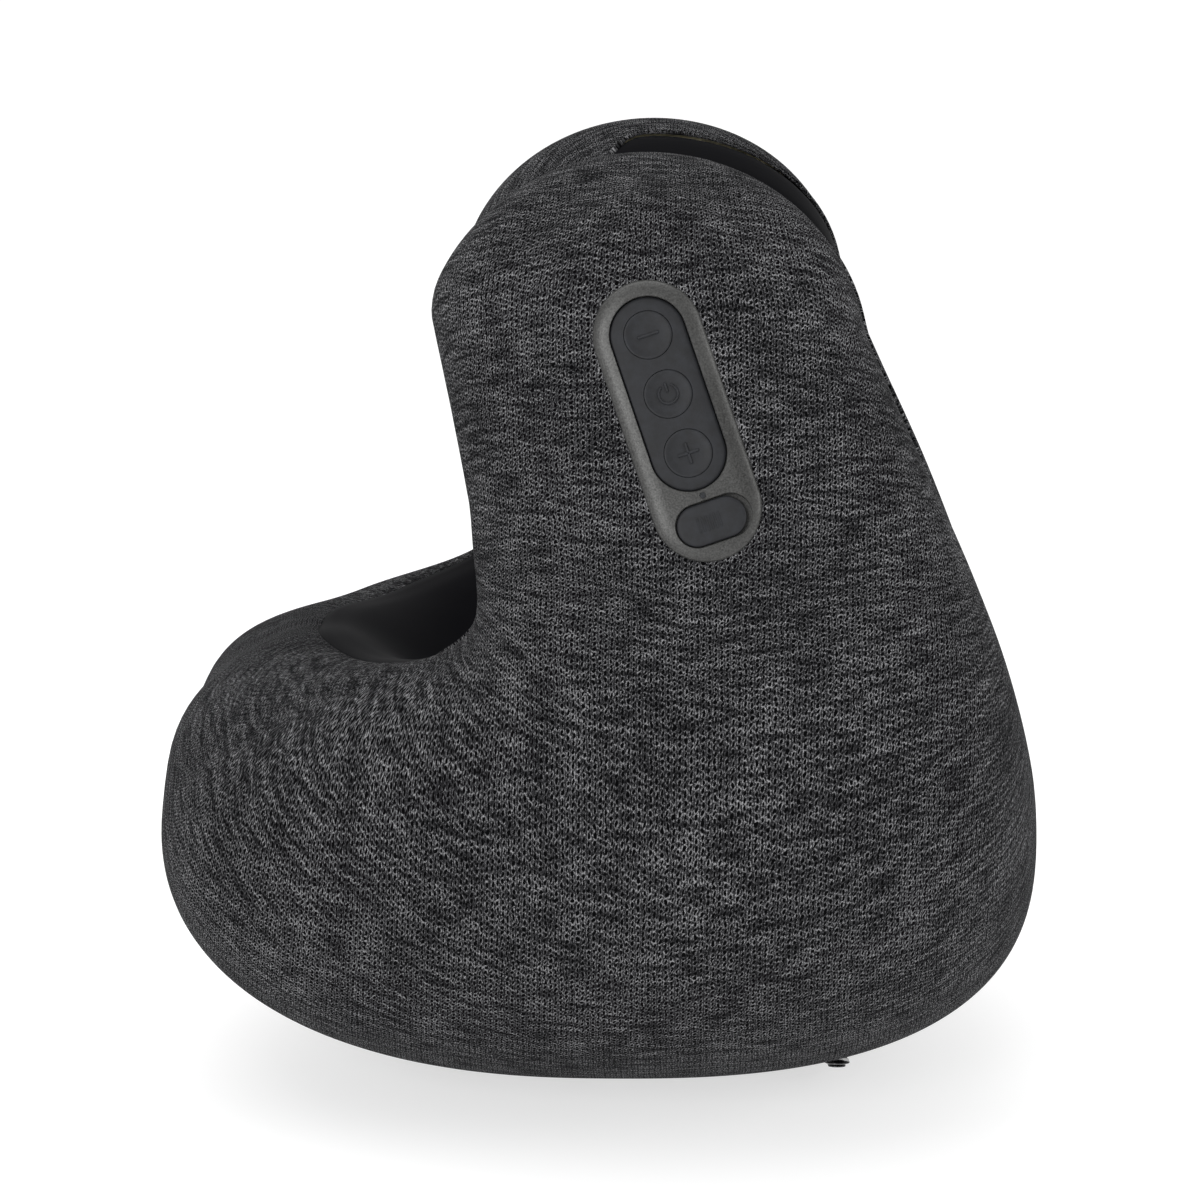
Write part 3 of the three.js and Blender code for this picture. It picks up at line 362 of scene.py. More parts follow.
ring_steps = np.linspace(0, 1, OUTER_RINGS + 1)[:, None]
outer_shares = np.sin(ROLL_TURN * ring_steps)
outer_x, outer_s = spread(outer_shares)
outer_n = outer_swell(outer_x, outer_s, outer_shares, OUTLINE[:, 5])
gap = from_panel(outer_x, outer_s)
at_panel = np.where(outer_s < 0, 1.0, 0.0)
welt = WELT_HIGH * np.exp(-(((gap - WELT_OUT) / WELT_WIDE) ** 2))
outer_n += at_panel * (welt - PINCH_DEEP * np.exp(-((gap / PINCH_WIDE) ** 2)))
turn = np.degrees(outer_s / MID_R)
in_zip = smooth_step(turn, ZIP_FROM - GROOVE_RUN_OUT, ZIP_FROM)
in_zip = in_zip * (1 - smooth_step(turn, ZIP_TO, ZIP_TO + GROOVE_RUN_OUT))
outer_n -= GROOVE_DEEP * np.exp(-(((outer_x - ZIP_X) / GROOVE_HALF) ** 4)) * in_zip
hem_steps = 1 - (1 - np.linspace(0, 1, HEM_RINGS + 1)[1:, None]) ** 1.5
tucked = SEAM_TUCK * smooth_step(hem_steps, 0.9, 1.0)
hem_x, hem_s, hem_n = round_the_roll(ROLL_TURN + (SEAM_TURN - ROLL_TURN) * hem_steps, tucked)
cover = cloth_over(
    "knit_cover_cloth",
    np.concatenate([outer_x, hem_x]),
    np.concatenate([outer_s, hem_s]),
    np.concatenate([outer_n, hem_n]),
)

# The padding presses the cloth out, except where it is sewn or stands on the floor.
start = np.array([v.co[:] for v in cover.data.vertices])
faces_out = np.array([v.normal[:] for v in cover.data.vertices])
off_floor = start[:, 2:] > FLAT_BELOW * MM
cover.data.vertices.foreach_set("co", (start - faces_out * SLACK * MM * off_floor).ravel())
held = cover.vertex_groups.new(name="held")
sewn = {v for v, co in enumerate(start) if co[2] < STANDS_BELOW * MM}
shape = bmesh.new()
shape.from_mesh(cover.data)
sewn |= {v.index for v in shape.verts if v.is_boundary}
shape.free()
held.add(sorted(sewn), 1.0, "REPLACE")
pressed = cover.modifiers.new("pressed_out", "CLOTH")
pressed.settings.vertex_group_mass = "held"
pressed.settings.use_pressure = True
pressed.settings.uniform_pressure_force = PADDING_PRESS
pressed.settings.tension_stiffness = pressed.settings.compression_stiffness = CLOTH_STIFF
pressed.settings.effector_weights.gravity = 0
pressed.point_cache.frame_start, pressed.point_cache.frame_end = 1, PRESS_STEPS
for step in range(1, PRESS_STEPS + 1):
    bpy.context.scene.frame_set(step)
swollen = cover.evaluated_get(bpy.context.evaluated_depsgraph_get()).data
moved = np.array([v.co[:] for v in swollen.vertices]) - start
far = np.linalg.norm(moved, axis=1, keepdims=True)
moved *= np.minimum(1, SLACK * MM / np.maximum(far, 1e-9))
cover.modifiers.remove(pressed)
cover.data.vertices.foreach_set("co", (start + moved).ravel())
bpy.context.scene.frame_set(1)

thicken(cover, KNIT_THICK)

# Charcoal melange rib knit: loops with two leaning legs and holes between them, in yarn spun from black
# and pale grey wool, so the cloth is speckled and has paler and darker streaks along its rows. The loops'
# relief is painted into the colour too: painted shade in the holes and a painted highlight on each crown.
knit, tree = new_material("charcoal_melange_knit")
threads = add_node(tree, "ShaderNodeUVMap", uv_map="threads")
wander = add_node(tree, "ShaderNodeTexNoise", {"Vector": threads, "Scale": 0.45, "Detail": 2.0})
uneven = add_node(tree, "ShaderNodeSeparateXYZ", wander.outputs["Color"])
laid = add_node(tree, "ShaderNodeSeparateXYZ", threads)
across = add_node(tree, "ShaderNodeMath", uneven.outputs[0], 1.5, laid.outputs[0], operation="MULTIPLY_ADD")
along = add_node(tree, "ShaderNodeMath", uneven.outputs[1], 1.5, laid.outputs[1], operation="MULTIPLY_ADD")
column = add_node(tree, "ShaderNodeMath", across, WALE, operation="DIVIDE")
every_second = add_node(tree, "ShaderNodeMath", column, operation="FLOOR")
half_row = add_node(tree, "ShaderNodeMath", every_second, 0.5, operation="MULTIPLY")
row = add_node(tree, "ShaderNodeMath", along, 1 / COURSE, half_row, operation="MULTIPLY_ADD")
in_column = add_node(tree, "ShaderNodeMath", column, operation="FRACT")
in_row = add_node(tree, "ShaderNodeMath", row, operation="FRACT")
up = add_node(tree, "ShaderNodeMath", in_row, 1 / HOLE_HIGH, -0.5 / HOLE_HIGH, operation="MULTIPLY_ADD")
sideways = add_node(
    tree, "ShaderNodeMath", in_column, 1 / HOLE_WIDE, -0.5 / HOLE_WIDE, operation="MULTIPLY_ADD"
)
lean = add_node(tree, "ShaderNodeMath", up, 0.35, sideways, operation="MULTIPLY_ADD")
lean_squared = add_node(tree, "ShaderNodeMath", lean, lean, operation="MULTIPLY")
both_squared = add_node(tree, "ShaderNodeMath", up, up, lean_squared, operation="MULTIPLY_ADD")
from_hole = add_node(tree, "ShaderNodeMath", both_squared, operation="SQRT")
half_way = add_node(tree, "ShaderNodeMath", from_hole, 0.5, operation="MULTIPLY")
# The loop's ramp is both its relief and its colour: black in the hole as painted shade, pale on the crown round
# it as a painted highlight.
loop_relief_and_painted_light = add_node(tree, "ShaderNodeValToRGB", half_way)
loop_relief_and_painted_light.color_ramp.interpolation = "EASE"
loop_relief_and_painted_light.color_ramp.elements[0].position, loop_relief_and_painted_light.color_ramp.elements[0].color = 0.26, (0, 0, 0, 1)
loop_relief_and_painted_light.color_ramp.elements[1].position, loop_relief_and_painted_light.color_ramp.elements[1].color = 0.9, (0.45, 0.45, 0.45, 1)
loop_relief_and_painted_light.color_ramp.elements.new(0.56).color = (0.9, 0.9, 0.9, 1)
fibre = add_node(
    tree, "ShaderNodeTexNoise", {"Vector": threads, "Scale": 1.9, "Detail": 3.0, "Roughness": 0.75}
)
strand = add_node(tree, "ShaderNodeMath", fibre, 3.2, -1.0, operation="MULTIPLY_ADD")
# The height carries the painted shade and highlight into the colour as well as into the bump.
height = add_node(tree, "ShaderNodeMath", loop_relief_and_painted_light, strand, operation="MULTIPLY")
drawn_out = add_node(tree, "ShaderNodeMapping", {"Vector": threads, "Scale": (0.16, 1.0, 1.0)})
streak = add_node(
    tree, "ShaderNodeTexNoise", {"Vector": drawn_out, "Scale": 0.7, "Detail": 3.0, "Roughness": 0.6}
)
streaks = add_node(tree, "ShaderNodeMath", streak, 2.2, -0.12, operation="MULTIPLY_ADD")
cloud = add_node(tree, "ShaderNodeTexNoise", {"Vector": threads, "Scale": 0.035, "Detail": 2.0})
clouds = add_node(tree, "ShaderNodeMath", cloud, 0.5, 0.75, operation="MULTIPLY_ADD")
streaked = add_node(tree, "ShaderNodeMath", height, streaks, operation="MULTIPLY")
clouded = add_node(tree, "ShaderNodeMath", streaked, clouds, operation="MULTIPLY")
# Paler knit in a band just outside the flange: the stretched loops, and a painted highlight on them.
place = add_node(tree, "ShaderNodeTexCoord").outputs["Object"]
off_panel = add_node(tree, "ShaderNodeVectorMath", place, PANEL_ORIGIN, operation="SUBTRACT")
panel_along = add_node(tree, "ShaderNodeVectorMath", off_panel, ALONG, operation="DOT_PRODUCT").outputs["Value"]
panel_across = add_node(tree, "ShaderNodeVectorMath", off_panel, UP, operation="DOT_PRODUCT").outputs["Value"]
far_along = add_node(tree, "ShaderNodeMath", panel_along, operation="ABSOLUTE")
past_end = add_node(tree, "ShaderNodeMath", far_along, PANEL_HALF * MM, operation="SUBTRACT")
past_end = add_node(tree, "ShaderNodeMath", past_end, 0.0, operation="MAXIMUM")
panel_depth = add_node(tree, "ShaderNodeVectorMath", off_panel, OUT, operation="DOT_PRODUCT").outputs["Value"]
out_of_slot = add_node(tree, "ShaderNodeCombineXYZ", past_end, panel_across, panel_depth)
slot_distance = add_node(tree, "ShaderNodeVectorMath", out_of_slot, operation="LENGTH").outputs["Value"]
paler = add_node(
    tree,
    "ShaderNodeMapRange",
    {
        "Value": slot_distance,
        "From Min": PULLED_AND_HIGHLIT_FROM * MM,
        "From Max": PULLED_AND_HIGHLIT_TO * MM,
        "To Min": PULLED_AND_HIGHLIT_PALER,
        "To Max": 1.0,
    },
)
shade = add_node(tree, "ShaderNodeMath", clouded, paler, operation="MULTIPLY")
yarn = add_node(tree, "ShaderNodeValToRGB", shade)
yarn.color_ramp.elements[0].position, yarn.color_ramp.elements[0].color = 0.1, linear("030304")
yarn.color_ramp.elements[1].position, yarn.color_ramp.elements[1].color = 0.95, linear("a6a6a8")
yarn.color_ramp.elements.new(0.4).color = linear("363638")
loops = add_node(tree, "ShaderNodeBump", {"Height": height, "Strength": 1.0, "Distance": 0.4 * MM})
finish_material(
    tree,
    Base_Color=yarn.outputs["Color"],
    Roughness=0.95,
    Normal=loops,
    Specular_IOR_Level=0.05,
)
cover.data.materials.clear()
cover.data.materials.append(knit)

# ---------------------------------------------------------------- neck lining
# A smooth black coated jersey over the inside of the bend and the arms, stretched from seam to seam and
# stitched under the knit's turned-in edge. It is wiped clean, so it is close-woven and faintly silky.
LINING_RINGS, LINING_THICK = 34, 0.8
LINING_TUCK, TUCKED_FROM, TUCKED_TO = 1.3, 0.3, 2.2  # how deep it lies under the hem, and how far in it rises
LINING_PROUD, PROUD_FROM, PROUD_TO = 0.9, 3.0, 9.0  # it stands clear of the foam further in
UNDER_HEM = 0.012  # radians of the roll that the lining runs on under the hem

lining_steps = np.linspace(0, 1, LINING_RINGS + 1)[:, None]
lining_turns = SEAM_TURN - UNDER_HEM + (np.pi - SEAM_TURN + UNDER_HEM) * lining_steps
level = lay_round_neck(*round_the_roll(lining_turns, 0.0))
run = np.linalg.norm(np.diff(level, axis=0), axis=2).cumsum(axis=0) / MM
run = np.concatenate([np.zeros((1, run.shape[1])), run])
sunk = LINING_TUCK * (1 - smooth_step(run, TUCKED_FROM, TUCKED_TO))
lining_x, lining_s, lining_n = round_the_roll(lining_turns, sunk)
lining_n -= LINING_PROUD * smooth_step(run, PROUD_FROM, PROUD_TO)
lining = cloth_over("neck_lining_jersey", lining_x, lining_s, lining_n)
thicken(lining, LINING_THICK)

# Coated jersey: near black with a trace of blue, smooth enough to catch a broad soft highlight.
jersey, tree = new_material("black_coated_jersey")
threads = add_node(tree, "ShaderNodeUVMap", uv_map="threads")
weave = add_node(tree, "ShaderNodeTexNoise", {"Vector": threads, "Scale": 1.6, "Detail": 2.0})
cloud = add_node(tree, "ShaderNodeTexNoise", {"Vector": threads, "Scale": 0.05, "Detail": 3.0})
shade = add_node(tree, "ShaderNodeValToRGB", cloud)
shade.color_ramp.elements[0].color = linear("020204")
shade.color_ramp.elements[1].color = linear("060609")
grain = add_node(tree, "ShaderNodeBump", {"Height": weave, "Strength": 0.3, "Distance": 0.12 * MM})
finish_material(
    tree,
    Base_Color=shade.outputs["Color"],
    Roughness=0.75,
    Normal=grain,
    Specular_IOR_Level=0.06,
)
lining.data.materials.clear()
lining.data.materials.append(jersey)
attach(lining, "pillow")
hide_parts("neck_lining")

# ---------------------------------------------------------------- control bezel
# A slot-shaped ring moulded in ABS and sprayed satin dark grey. Its crowned flange holds the knit down all
# round, and it has a window for the keypad, a seat for the port flap and a pin-hole for the light.
KEYPAD_X, KEYPAD_HALF = -6.15, 13.6
ROUND_STEPS = 72


def turned(name, rings, half=0.0, at=(0.0, 0.0), upright=False, steps=ROUND_STEPS):
    """A solid made from rings of (radius, height) in millimetres, each extruded from the last, then pulled
    apart lengthwise by half on each side into a slot, and moved to its place."""
    bpy.ops.object.select_all(action="DESELECT")
    bpy.ops.mesh.primitive_circle_add(vertices=steps, radius=rings[0][0], location=(0, 0, rings[0][1]))
    made = bpy.context.object
    made.name = made.data.name = name
    bpy.ops.object.mode_set(mode="EDIT")
    bpy.ops.mesh.select_all(action="SELECT")
    bpy.ops.transform.rotate(value=math.pi / steps, orient_axis="Z", center_override=(0, 0, 0))
    bpy.ops.mesh.edge_face_add()
    bpy.ops.mesh.select_mode(type="EDGE")
    for (old_radius, old_height), (radius, height) in zip(rings, rings[1:]):
        bpy.ops.mesh.extrude_edges_move(TRANSFORM_OT_translate={"value": (0, 0, height - old_height)})
        grow = radius / old_radius
        bpy.ops.transform.resize(value=(grow, grow, 1), center_override=(0, 0, height))
    bpy.ops.mesh.edge_face_add()
    bpy.ops.mesh.select_all(action="SELECT")
    bpy.ops.mesh.normals_make_consistent(inside=False)
    bpy.ops.object.mode_set(mode="OBJECT")
    bpy.ops.object.transform_apply(location=True, rotation=True, scale=True)
    for vertex in made.data.vertices:
        vertex.co.x += math.copysign(half, vertex.co.x)
    if upright:
        made.data.transform(Matrix.Rotation(math.pi / 2, 4, "Z"))
    made.data.transform(Matrix.Translation((*at, 0)))
    return made


def cut_away(made, *cutters):
    for cutter in cutters:
        apply_modifier(made, "BOOLEAN", operation="DIFFERENCE", solver="EXACT", object=cutter)
        bpy.data.objects.remove(cutter)


def join_on(made, *others):
    """Joins other solids to a piece, each closed in itself."""
    pick(made)
    for other in others:
        other.select_set(True)
    bpy.ops.object.join()


def seat_in_panel(made, material, body, node, crease=30):
    """Moves a finished piece from the panel's own frame in millimetres to its place."""
    pick(made)
    bpy.ops.object.shade_smooth_by_angle(angle=math.radians(crease))
    made.data.transform(PANEL_FRAME @ Matrix.Scale(MM, 4))
    made.data.materials.clear()
    made.data.materials.append(material)
    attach(made, body)
    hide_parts(node)


# Satin paint on ABS: a dark warm grey with a fine mist of paler specks and a soft wide highlight.
bezel_paint, tree = new_material("satin_grey_sprayed_abs")
place = add_node(tree, "ShaderNodeTexCoord").outputs["Object"]
mist = add_node(tree, "ShaderNodeTexNoise", {"Vector": place, "Scale": 2600.0, "Detail": 2.0, "Roughness": 0.6})
drift = add_node(tree, "ShaderNodeTexNoise", {"Vector": place, "Scale": 60.0, "Detail": 2.0})
mixed = add_node(tree, "ShaderNodeMath", drift, 0.35, mist, operation="MULTIPLY_ADD")
tone = add_node(tree, "ShaderNodeValToRGB", mixed)
tone.color_ramp.elements[0].position, tone.color_ramp.elements[0].color = 0.4, linear("242423")
tone.color_ramp.elements[1].position, tone.color_ramp.elements[1].color = 0.95, linear("515150")
peel = add_node(tree, "ShaderNodeBump", {"Height": mist, "Strength": 0.35, "Distance": 0.05 * MM})
finish_material(tree, Base_Color=tone.outputs["Color"], Metallic=0.45, Roughness=0.4, Normal=peel, IOR=1.5)

bezel = turned(
    "control_bezel_flange",
    [
        (10.47, -5.0),
        (10.47, 0.3),
        (11.85, 0.3),
        (12.05, 0.45),
        (12.07, 0.7),
        (11.95, 1.0),
        (11.65, 1.3),
        (11.2, 1.56),
        (10.4, 1.84),
        (9.5, 2.04),
        (8.2, 2.15),
    ],
    PANEL_HALF,
)
cut_away(
    bezel,
    turned("tray_hollow", [(9.07, -6), (9.07, -1.4)], PANEL_HALF),
    turned("keypad_window", [(8.42, -6), (8.42, 1.9), (8.6, 2.2), (8.6, 3)], KEYPAD_HALF, (KEYPAD_X, 0)),
    turned("flap_seat", [(4.75, -0.2), (4.75, 1.85), (4.95, 2.2), (4.95, 3)], 3.8, (FLAP_X, 0.55), True),
    turned("plug_way", [(1.25, -6), (1.25, 1)], 2.2, (FLAP_X, 0), True, 32),
    turned("light_hole", [(0.66, -6), (0.66, 2.0), (0.75, 2.2), (0.75, 3)], 0, (17.2, 0), steps=24),
)
seat_in_panel(bezel, bezel_paint, "pillow", "control_bezel")

# ---------------------------------------------------------------- keypad and keys
# One silicone rubber pad fills the bezel's window, with three round keys that give 0.6 mm. Each key is
# slightly dished and has its sign moulded proud: less, on and off, and more.
KEY_PITCH = 13.6
KEYS = {"minus": KEYPAD_X - KEY_PITCH, "power": KEYPAD_X, "plus": KEYPAD_X + KEY_PITCH}
SIGN_FOOT, SIGN_TOP = 0.6, 1.45

# Silicone rubber: blue-black and matt, with the bloom of fine dust that it draws.
rubber, tree = new_material("blue_black_silicone_rubber")
place = add_node(tree, "ShaderNodeTexCoord").outputs["Object"]
dust = add_node(tree, "ShaderNodeTexNoise", {"Vector": place, "Scale": 420.0, "Detail": 4.0, "Roughness": 0.7})
tone = add_node(tree, "ShaderNodeValToRGB", dust)
tone.color_ramp.elements[0].position, tone.color_ramp.elements[0].color = 0.35, linear("0e0f12")
tone.color_ramp.elements[1].position, tone.color_ramp.elements[1].color = 0.8, linear("1d1f24")
fine = add_node(tree, "ShaderNodeTexNoise", {"Vector": place, "Scale": 3500.0, "Detail": 1.0})
grain = add_node(tree, "ShaderNodeBump", {"Height": fine, "Strength": 0.4, "Distance": 0.03 * MM})
finish_material(tree, Base_Color=tone.outputs["Color"], Roughness=0.6, Normal=grain, IOR=1.41)

pad = turned(
    "keypad_membrane",
    [(8.3, -2.9), (8.3, 0.9), (8.22, 1.1), (8.0, 1.25), (7.6, 1.3)],
    KEYPAD_HALF,
    (KEYPAD_X, 0),
)
for key_x in KEYS.values():
    cut_away(pad, turned("key_hole", [(5.33, -4), (5.33, 1.2), (5.4, 1.32), (5.4, 2)], 0, (key_x, 0)))
seat_in_panel(pad, rubber, "pillow", "keypad_frame")


def bar(length, at, upright):
    """A raised stroke of a key's sign, rounded at its ends and along its top."""
    rings = [(0.3, SIGN_FOOT), (0.3, SIGN_TOP - 0.12), (0.2, SIGN_TOP)]
    return turned("sign_stroke", rings, length / 2 - 0.3, at, upright, 16)


for name, key_x in KEYS.items():
    key = turned(
        f"key_{name}_cap",
        [
            (1.5, -3.5),
            (1.5, -1.2),
            (5.2, -1.2),
            (5.28, 1.1),
            (5.22, 1.22),
            (5.0, 1.28),
            (4.7, 1.26),
            (4.3, 1.12),
            (3.2, 1.0),
            (1.6, 0.95),
        ],
        0,
        (key_x, 0),
    )
    if name == "power":
        bpy.ops.object.select_all(action="DESELECT")
        bpy.ops.mesh.primitive_torus_add(
            major_radius=2.1, minor_radius=0.3, major_segments=48, minor_segments=10
        )
        ring = bpy.context.object
        shape = bmesh.new()
        shape.from_mesh(ring.data)
        gone = [f for f in shape.faces if abs(math.atan2(*f.calc_center_median().yx)) > math.radians(148)]
        bmesh.ops.delete(shape, geom=gone, context="FACES")
        bmesh.ops.holes_fill(shape, edges=[e for e in shape.edges if e.is_boundary])
        shape.to_mesh(ring.data)
        shape.free()
        ring.data.transform(Matrix.Translation((key_x, 0, SIGN_TOP - 0.3)))
        join_on(key, ring, bar(2.2, (key_x - 1.5, 0), False))
    elif name == "minus":
        join_on(key, bar(4.9, (key_x, 0), True))
    else:
        join_on(key, bar(4.9, (key_x, 0), True), bar(4.9, (key_x, 0), False))
    seat_in_panel(key, rubber, f"key_{name}", f"key_{name}")

# ---------------------------------------------------------------- charge-port flap
# A soft rubber plug on a tether closes the charging socket. Ribs across its middle give a fingertip grip, and
# its seat is longer at the free end, so that a nail can lift it.
flap = turned(
    "port_flap_plug",
    [(4.35, 0.1), (4.55, 0.3), (4.55, 1.4), (4.45, 1.65), (4.2, 1.82), (3.7, 1.9), (2.0, 1.93)],
    3.25,
    (FLAP_X, 0),
    True,
)
ribs = [
    turned("grip_rib", [(0.22, 1.5), (0.22, 2.0), (0.14, 2.1)], 1.5, (FLAP_X, 0.95 * i), False, 12)
    for i in range(-3, 3)
]
join_on(flap, turned("socket_plug", [(0.8, -1.3), (0.9, -1.1), (0.9, 0.4)], 2.2, (FLAP_X, 0), True, 24), *ribs)
seat_in_panel(flap, rubber, "port_flap", "port_flap")

# ---------------------------------------------------------------- zip under the bend
# A short coil zip in a groove of the cover, through which the foam goes in. Moulded black teeth are sewn to
# two woven tapes, and a gloss enamelled slider with a flat pull stands a little proud of the cloth.
TOOTH_PITCH = 1.5
SLIDER_AT = -11.0  # degrees round the neck


def zip_surface(turn_deg, x):
    """Outward distance of the cloth's face at a place on the zip, without its groove."""
    s = np.array(math.radians(turn_deg) * MID_R)
    edge_x = min(OUTLINE, key=lambda row: abs(row[1] - s) + (row[0] < 0) * 999)
    share = (x - edge_x[3]) / (edge_x[0] - edge_x[3])
    return float(outer_swell(np.array(x), s, np.array(share), SHOULDER_SWELL))


def round_neck(turn_deg, x, n):
    """A frame on the zip's line: X along the neck, Y round it, Z outwards, and lengths in millimetres."""
    a = math.radians(turn_deg)
    out = Vector((0, math.sin(a), -math.cos(a)))
    round_way = Vector((0, math.cos(a), math.sin(a)))
    origin = Vector((x, 0, NECK_Z)) + out * (MID_R + n)
    turned_frame = Matrix((Vector((1, 0, 0)), round_way, out)).transposed().to_4x4()
    return Matrix.Scale(MM, 4) @ Matrix.Translation(origin) @ turned_frame


# Acetal teeth: black moulded plastic with a dull shine and the faint marks of the mould.
teeth_plastic, tree = new_material("black_moulded_acetal")
place = add_node(tree, "ShaderNodeTexCoord").outputs["Object"]
marks = add_node(tree, "ShaderNodeTexNoise", {"Vector": place, "Scale": 900.0, "Detail": 3.0})
tone = add_node(tree, "ShaderNodeValToRGB", marks)
tone.color_ramp.elements[0].color, tone.color_ramp.elements[1].color = linear("0c0c0d"), linear("1b1b1d")
dents = add_node(tree, "ShaderNodeBump", {"Height": marks, "Strength": 0.3, "Distance": 0.05 * MM})
finish_material(tree, Base_Color=tone.outputs["Color"], Roughness=0.4, Normal=dents, IOR=1.48)

# Polyester tape: black herringbone of threads about half a millimetre apart.
tape_cloth, tree = new_material("black_woven_polyester_tape")
place = add_node(tree, "ShaderNodeTexCoord").outputs["Object"]
ribs_x = add_node(
    tree, "ShaderNodeTexWave", {"Vector": place, "Scale": 320.0, "Distortion": 0.3}, bands_direction="X"
)
ribs_y = add_node(
    tree, "ShaderNodeTexWave", {"Vector": place, "Scale": 320.0, "Distortion": 0.3}, bands_direction="Y"
)
crossed = add_node(tree, "ShaderNodeMath", ribs_x.outputs["Fac"], ribs_y.outputs["Fac"], operation="MULTIPLY")
tone = add_node(tree, "ShaderNodeValToRGB", crossed)
tone.color_ramp.elements[0].color, tone.color_ramp.elements[1].color = linear("08080a"), linear("26262a")
threads_up = add_node(tree, "ShaderNodeBump", {"Height": crossed, "Strength": 0.6, "Distance": 0.15 * MM})
finish_material(tree, Base_Color=tone.outputs["Color"], Roughness=0.85, Normal=threads_up)

bpy.ops.object.select_all(action="DESELECT")
bpy.ops.mesh.primitive_cube_add(size=1, location=(0, 0, 0))
tooth = bpy.context.object
bpy.ops.object.mode_set(mode="EDIT")
bpy.ops.mesh.select_all(action="SELECT")
bpy.ops.transform.resize(value=(2.6, 0.62, 1.0), center_override=(0, 0, 0))
bpy.ops.mesh.bevel(offset=0.16, segments=1)
bpy.ops.object.mode_set(mode="OBJECT")
chain = bmesh.new()
arc = math.radians(ZIP_TO - ZIP_FROM) * (MID_R + zip_surface(6, ZIP_X))
count = int(arc / TOOTH_PITCH)
for i in range(2 * count):
    at = ZIP_FROM + (ZIP_TO - ZIP_FROM) * (i + 0.5) / (2 * count)
    side = 1 if i % 2 else -1
    one = tooth.data.copy()
    one.transform(round_neck(at, ZIP_X + 1.05 * side, zip_surface(at, ZIP_X) - 0.62))
    chain.from_mesh(one)
    bpy.data.meshes.remove(one)
bpy.data.objects.remove(tooth)
chain_mesh = bpy.data.meshes.new("zip_teeth")
chain.to_mesh(chain_mesh)
chain.free()
teeth = bpy.data.objects.new("zip_teeth", chain_mesh)
bpy.context.collection.objects.link(teeth)
teeth.data.materials.append(teeth_plastic)

tape_steps = 60
rail = []
for i in range(tape_steps + 1):
    at = ZIP_FROM - 1.5 + (ZIP_TO - ZIP_FROM + 3) * i / tape_steps
    for offset, drop in ((-6.5, 2.0), (-2.6, 1.35), (0, 1.3), (2.6, 1.35), (6.5, 2.0)):
        local = round_neck(at, ZIP_X + offset, zip_surface(at, ZIP_X + offset) - drop)
        rail.append(local.translation)
strip = bpy.data.meshes.new("zip_tape")
strip.from_pydata(
    rail,
    [],
    [(5 * i + j, 5 * i + j + 1, 5 * i + j + 6, 5 * i + j + 5) for i in range(tape_steps) for j in range(4)],
)
tape = bpy.data.objects.new("zip_tape", strip)
bpy.context.collection.objects.link(tape)
pick(tape)
bpy.ops.object.mode_set(mode="EDIT")
bpy.ops.mesh.select_all(action="SELECT")
bpy.ops.mesh.normals_make_consistent(inside=False)
bpy.ops.object.mode_set(mode="OBJECT")
apply_modifier(tape, "SOLIDIFY", thickness=0.4 * MM, offset=0)
tape.data.materials.append(tape_cloth)
for piece in (teeth, tape):
    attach(piece, "pillow")
    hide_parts("zip_chain")

# Gloss black enamel on die-cast zinc: a deep shine with slight waves where the enamel pooled.
enamel, tree = new_material("gloss_black_stoved_enamel")
place = add_node(tree, "ShaderNodeTexCoord").outputs["Object"]
pools = add_node(tree, "ShaderNodeTexNoise", {"Vector": place, "Scale": 500.0, "Detail": 2.0})
tone = add_node(tree, "ShaderNodeValToRGB", pools)
tone.color_ramp.elements[0].color, tone.color_ramp.elements[1].color = linear("060607"), linear("121214")
waves = add_node(tree, "ShaderNodeBump", {"Height": pools, "Strength": 0.25, "Distance": 0.08 * MM})
finish_material(tree, Base_Color=tone.outputs["Color"], Roughness=0.16, Normal=waves, IOR=1.5)

slider = turned(
    "zip_slider_body",
    [(2.9, 0.9), (3.1, 1.0), (3.1, 1.25), (2.8, 1.4)],
    3.2,
    (0, 0),
    True,
    40,
)
join_on(slider, turned("slider_bridge", [(0.9, 1.2), (0.9, 1.55), (0.7, 1.7)], 2.0, (0, 0), True, 24))
pull = turned("zip_pull_tab", [(2.0, 2.0), (2.2, 2.1), (2.2, 2.4), (2.0, 2.5)], 5, (0, 4), True, 40)
cut_away(pull, turned("pull_eye", [(0.9, 1.5), (0.9, 3)], 1.6, (0, 7), True, 24))
for piece, node in ((slider, "zip_slider"), (pull, "zip_pull")):
    pick(piece)
    bpy.ops.object.shade_smooth_by_angle(angle=math.radians(30))
    piece.data.transform(round_neck(SLIDER_AT, ZIP_X, zip_surface(SLIDER_AT, ZIP_X)))
    piece.data.materials.clear()
    piece.data.materials.append(enamel)
    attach(piece, "zip_slider")
    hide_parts(node)

# ---------------------------------------------------------------- the cover is cut round the panel
# The knit is slit and tucked under the bezel's flange, so its hole is a little smaller than the flange.
TUCK_EDGE_R = 11.3
hole = turned("panel_hole", [(TUCK_EDGE_R, -8), (TUCK_EDGE_R, 8)], PANEL_HALF)
hole.data.transform(PANEL_FRAME @ Matrix.Scale(MM, 4))
cut_away(cover, hole)
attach(cover, "pillow")
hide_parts("knit_cover")

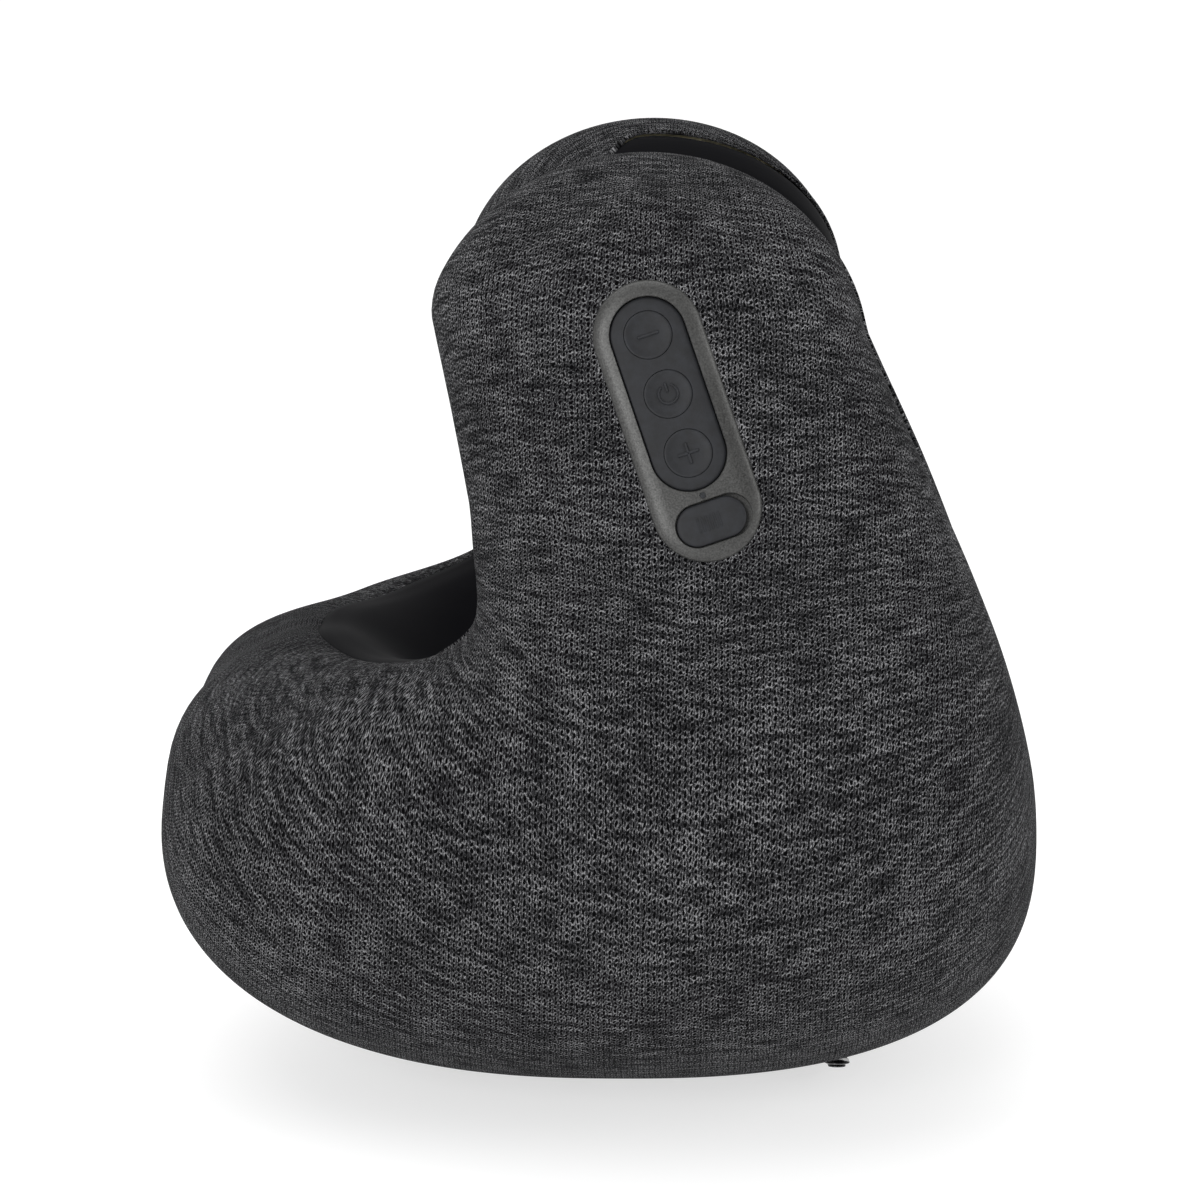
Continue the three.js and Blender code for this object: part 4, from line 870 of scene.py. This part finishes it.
# ---------------------------------------------------------------- foam and works inside
# The foam core, cells, board, motor, worm gearbox and kneading heads are as packed, each in the finish of
# what it is made of. None shows from outside, but each shows in a cut-away or when the cover is off.
WORKS = {
    # slot: material name, dark and pale colour, grain in millimetres, bump depth, metallic, roughness
    "foam": ("open_cell_polyurethane_foam", "b9ae8a", "ded6b8", 0.9, 0.35, 0.0, 0.95),
    "black_plastic": ("moulded_black_abs", "0d0d0e", "1c1c1e", 0.4, 0.03, 0.0, 0.5),
    "lens": ("smoked_acrylic_light_guide", "26282a", "3c3e42", 0.6, 0.01, 0.0, 0.15),
    "steel": ("turned_steel", "8f9194", "b9bbbd", 0.2, 0.02, 1.0, 0.32),
    "brass": ("sintered_bronze", "8a6a3a", "b08d55", 0.3, 0.04, 1.0, 0.48),
    "acetal": ("natural_acetal", "cfcabb", "e6e1d3", 0.5, 0.02, 0.0, 0.38),
    "board": ("green_solder_mask", "0b3b20", "14552f", 0.8, 0.02, 0.0, 0.3),
    "cell_wrap": ("blue_shrink_sleeve", "173d78", "23559c", 1.2, 0.03, 0.0, 0.28),
    "heater": ("etched_copper_on_polyimide", "7a4118", "b26a2c", 1.6, 0.02, 0.3, 0.4),
    "node_plastic": ("red_translucent_polycarbonate", "6e1710", "9c2a1c", 1.0, 0.01, 0.0, 0.22),
}
finishes = {}
for slot, (name, dark, pale, grain_mm, depth_mm, metallic, roughness) in WORKS.items():
    finish, tree = new_material(name)
    place = add_node(tree, "ShaderNodeTexCoord").outputs["Object"]
    speck = add_node(
        tree, "ShaderNodeTexNoise", {"Vector": place, "Scale": 1000 / grain_mm, "Detail": 3.0, "Roughness": 0.6}
    )
    tone = add_node(tree, "ShaderNodeValToRGB", speck)
    tone.color_ramp.elements[0].position, tone.color_ramp.elements[0].color = 0.3, linear(dark)
    tone.color_ramp.elements[1].position, tone.color_ramp.elements[1].color = 0.75, linear(pale)
    relief = add_node(tree, "ShaderNodeBump", {"Height": speck, "Strength": 0.5, "Distance": depth_mm * MM})
    finish_material(
        tree, Base_Color=tone.outputs["Color"], Metallic=metallic, Roughness=roughness, Normal=relief
    )
    finishes[slot] = finish
finishes.update(rubber=rubber, bezel_paint=bezel_paint, knit=knit, lining=jersey, black_enamel=enamel)
for part in frame["record"]["subparts"]:
    node = frame["nodes"][part["node"]]
    for slot in node.material_slots:
        slot.material = finishes[part["material_slot"]]
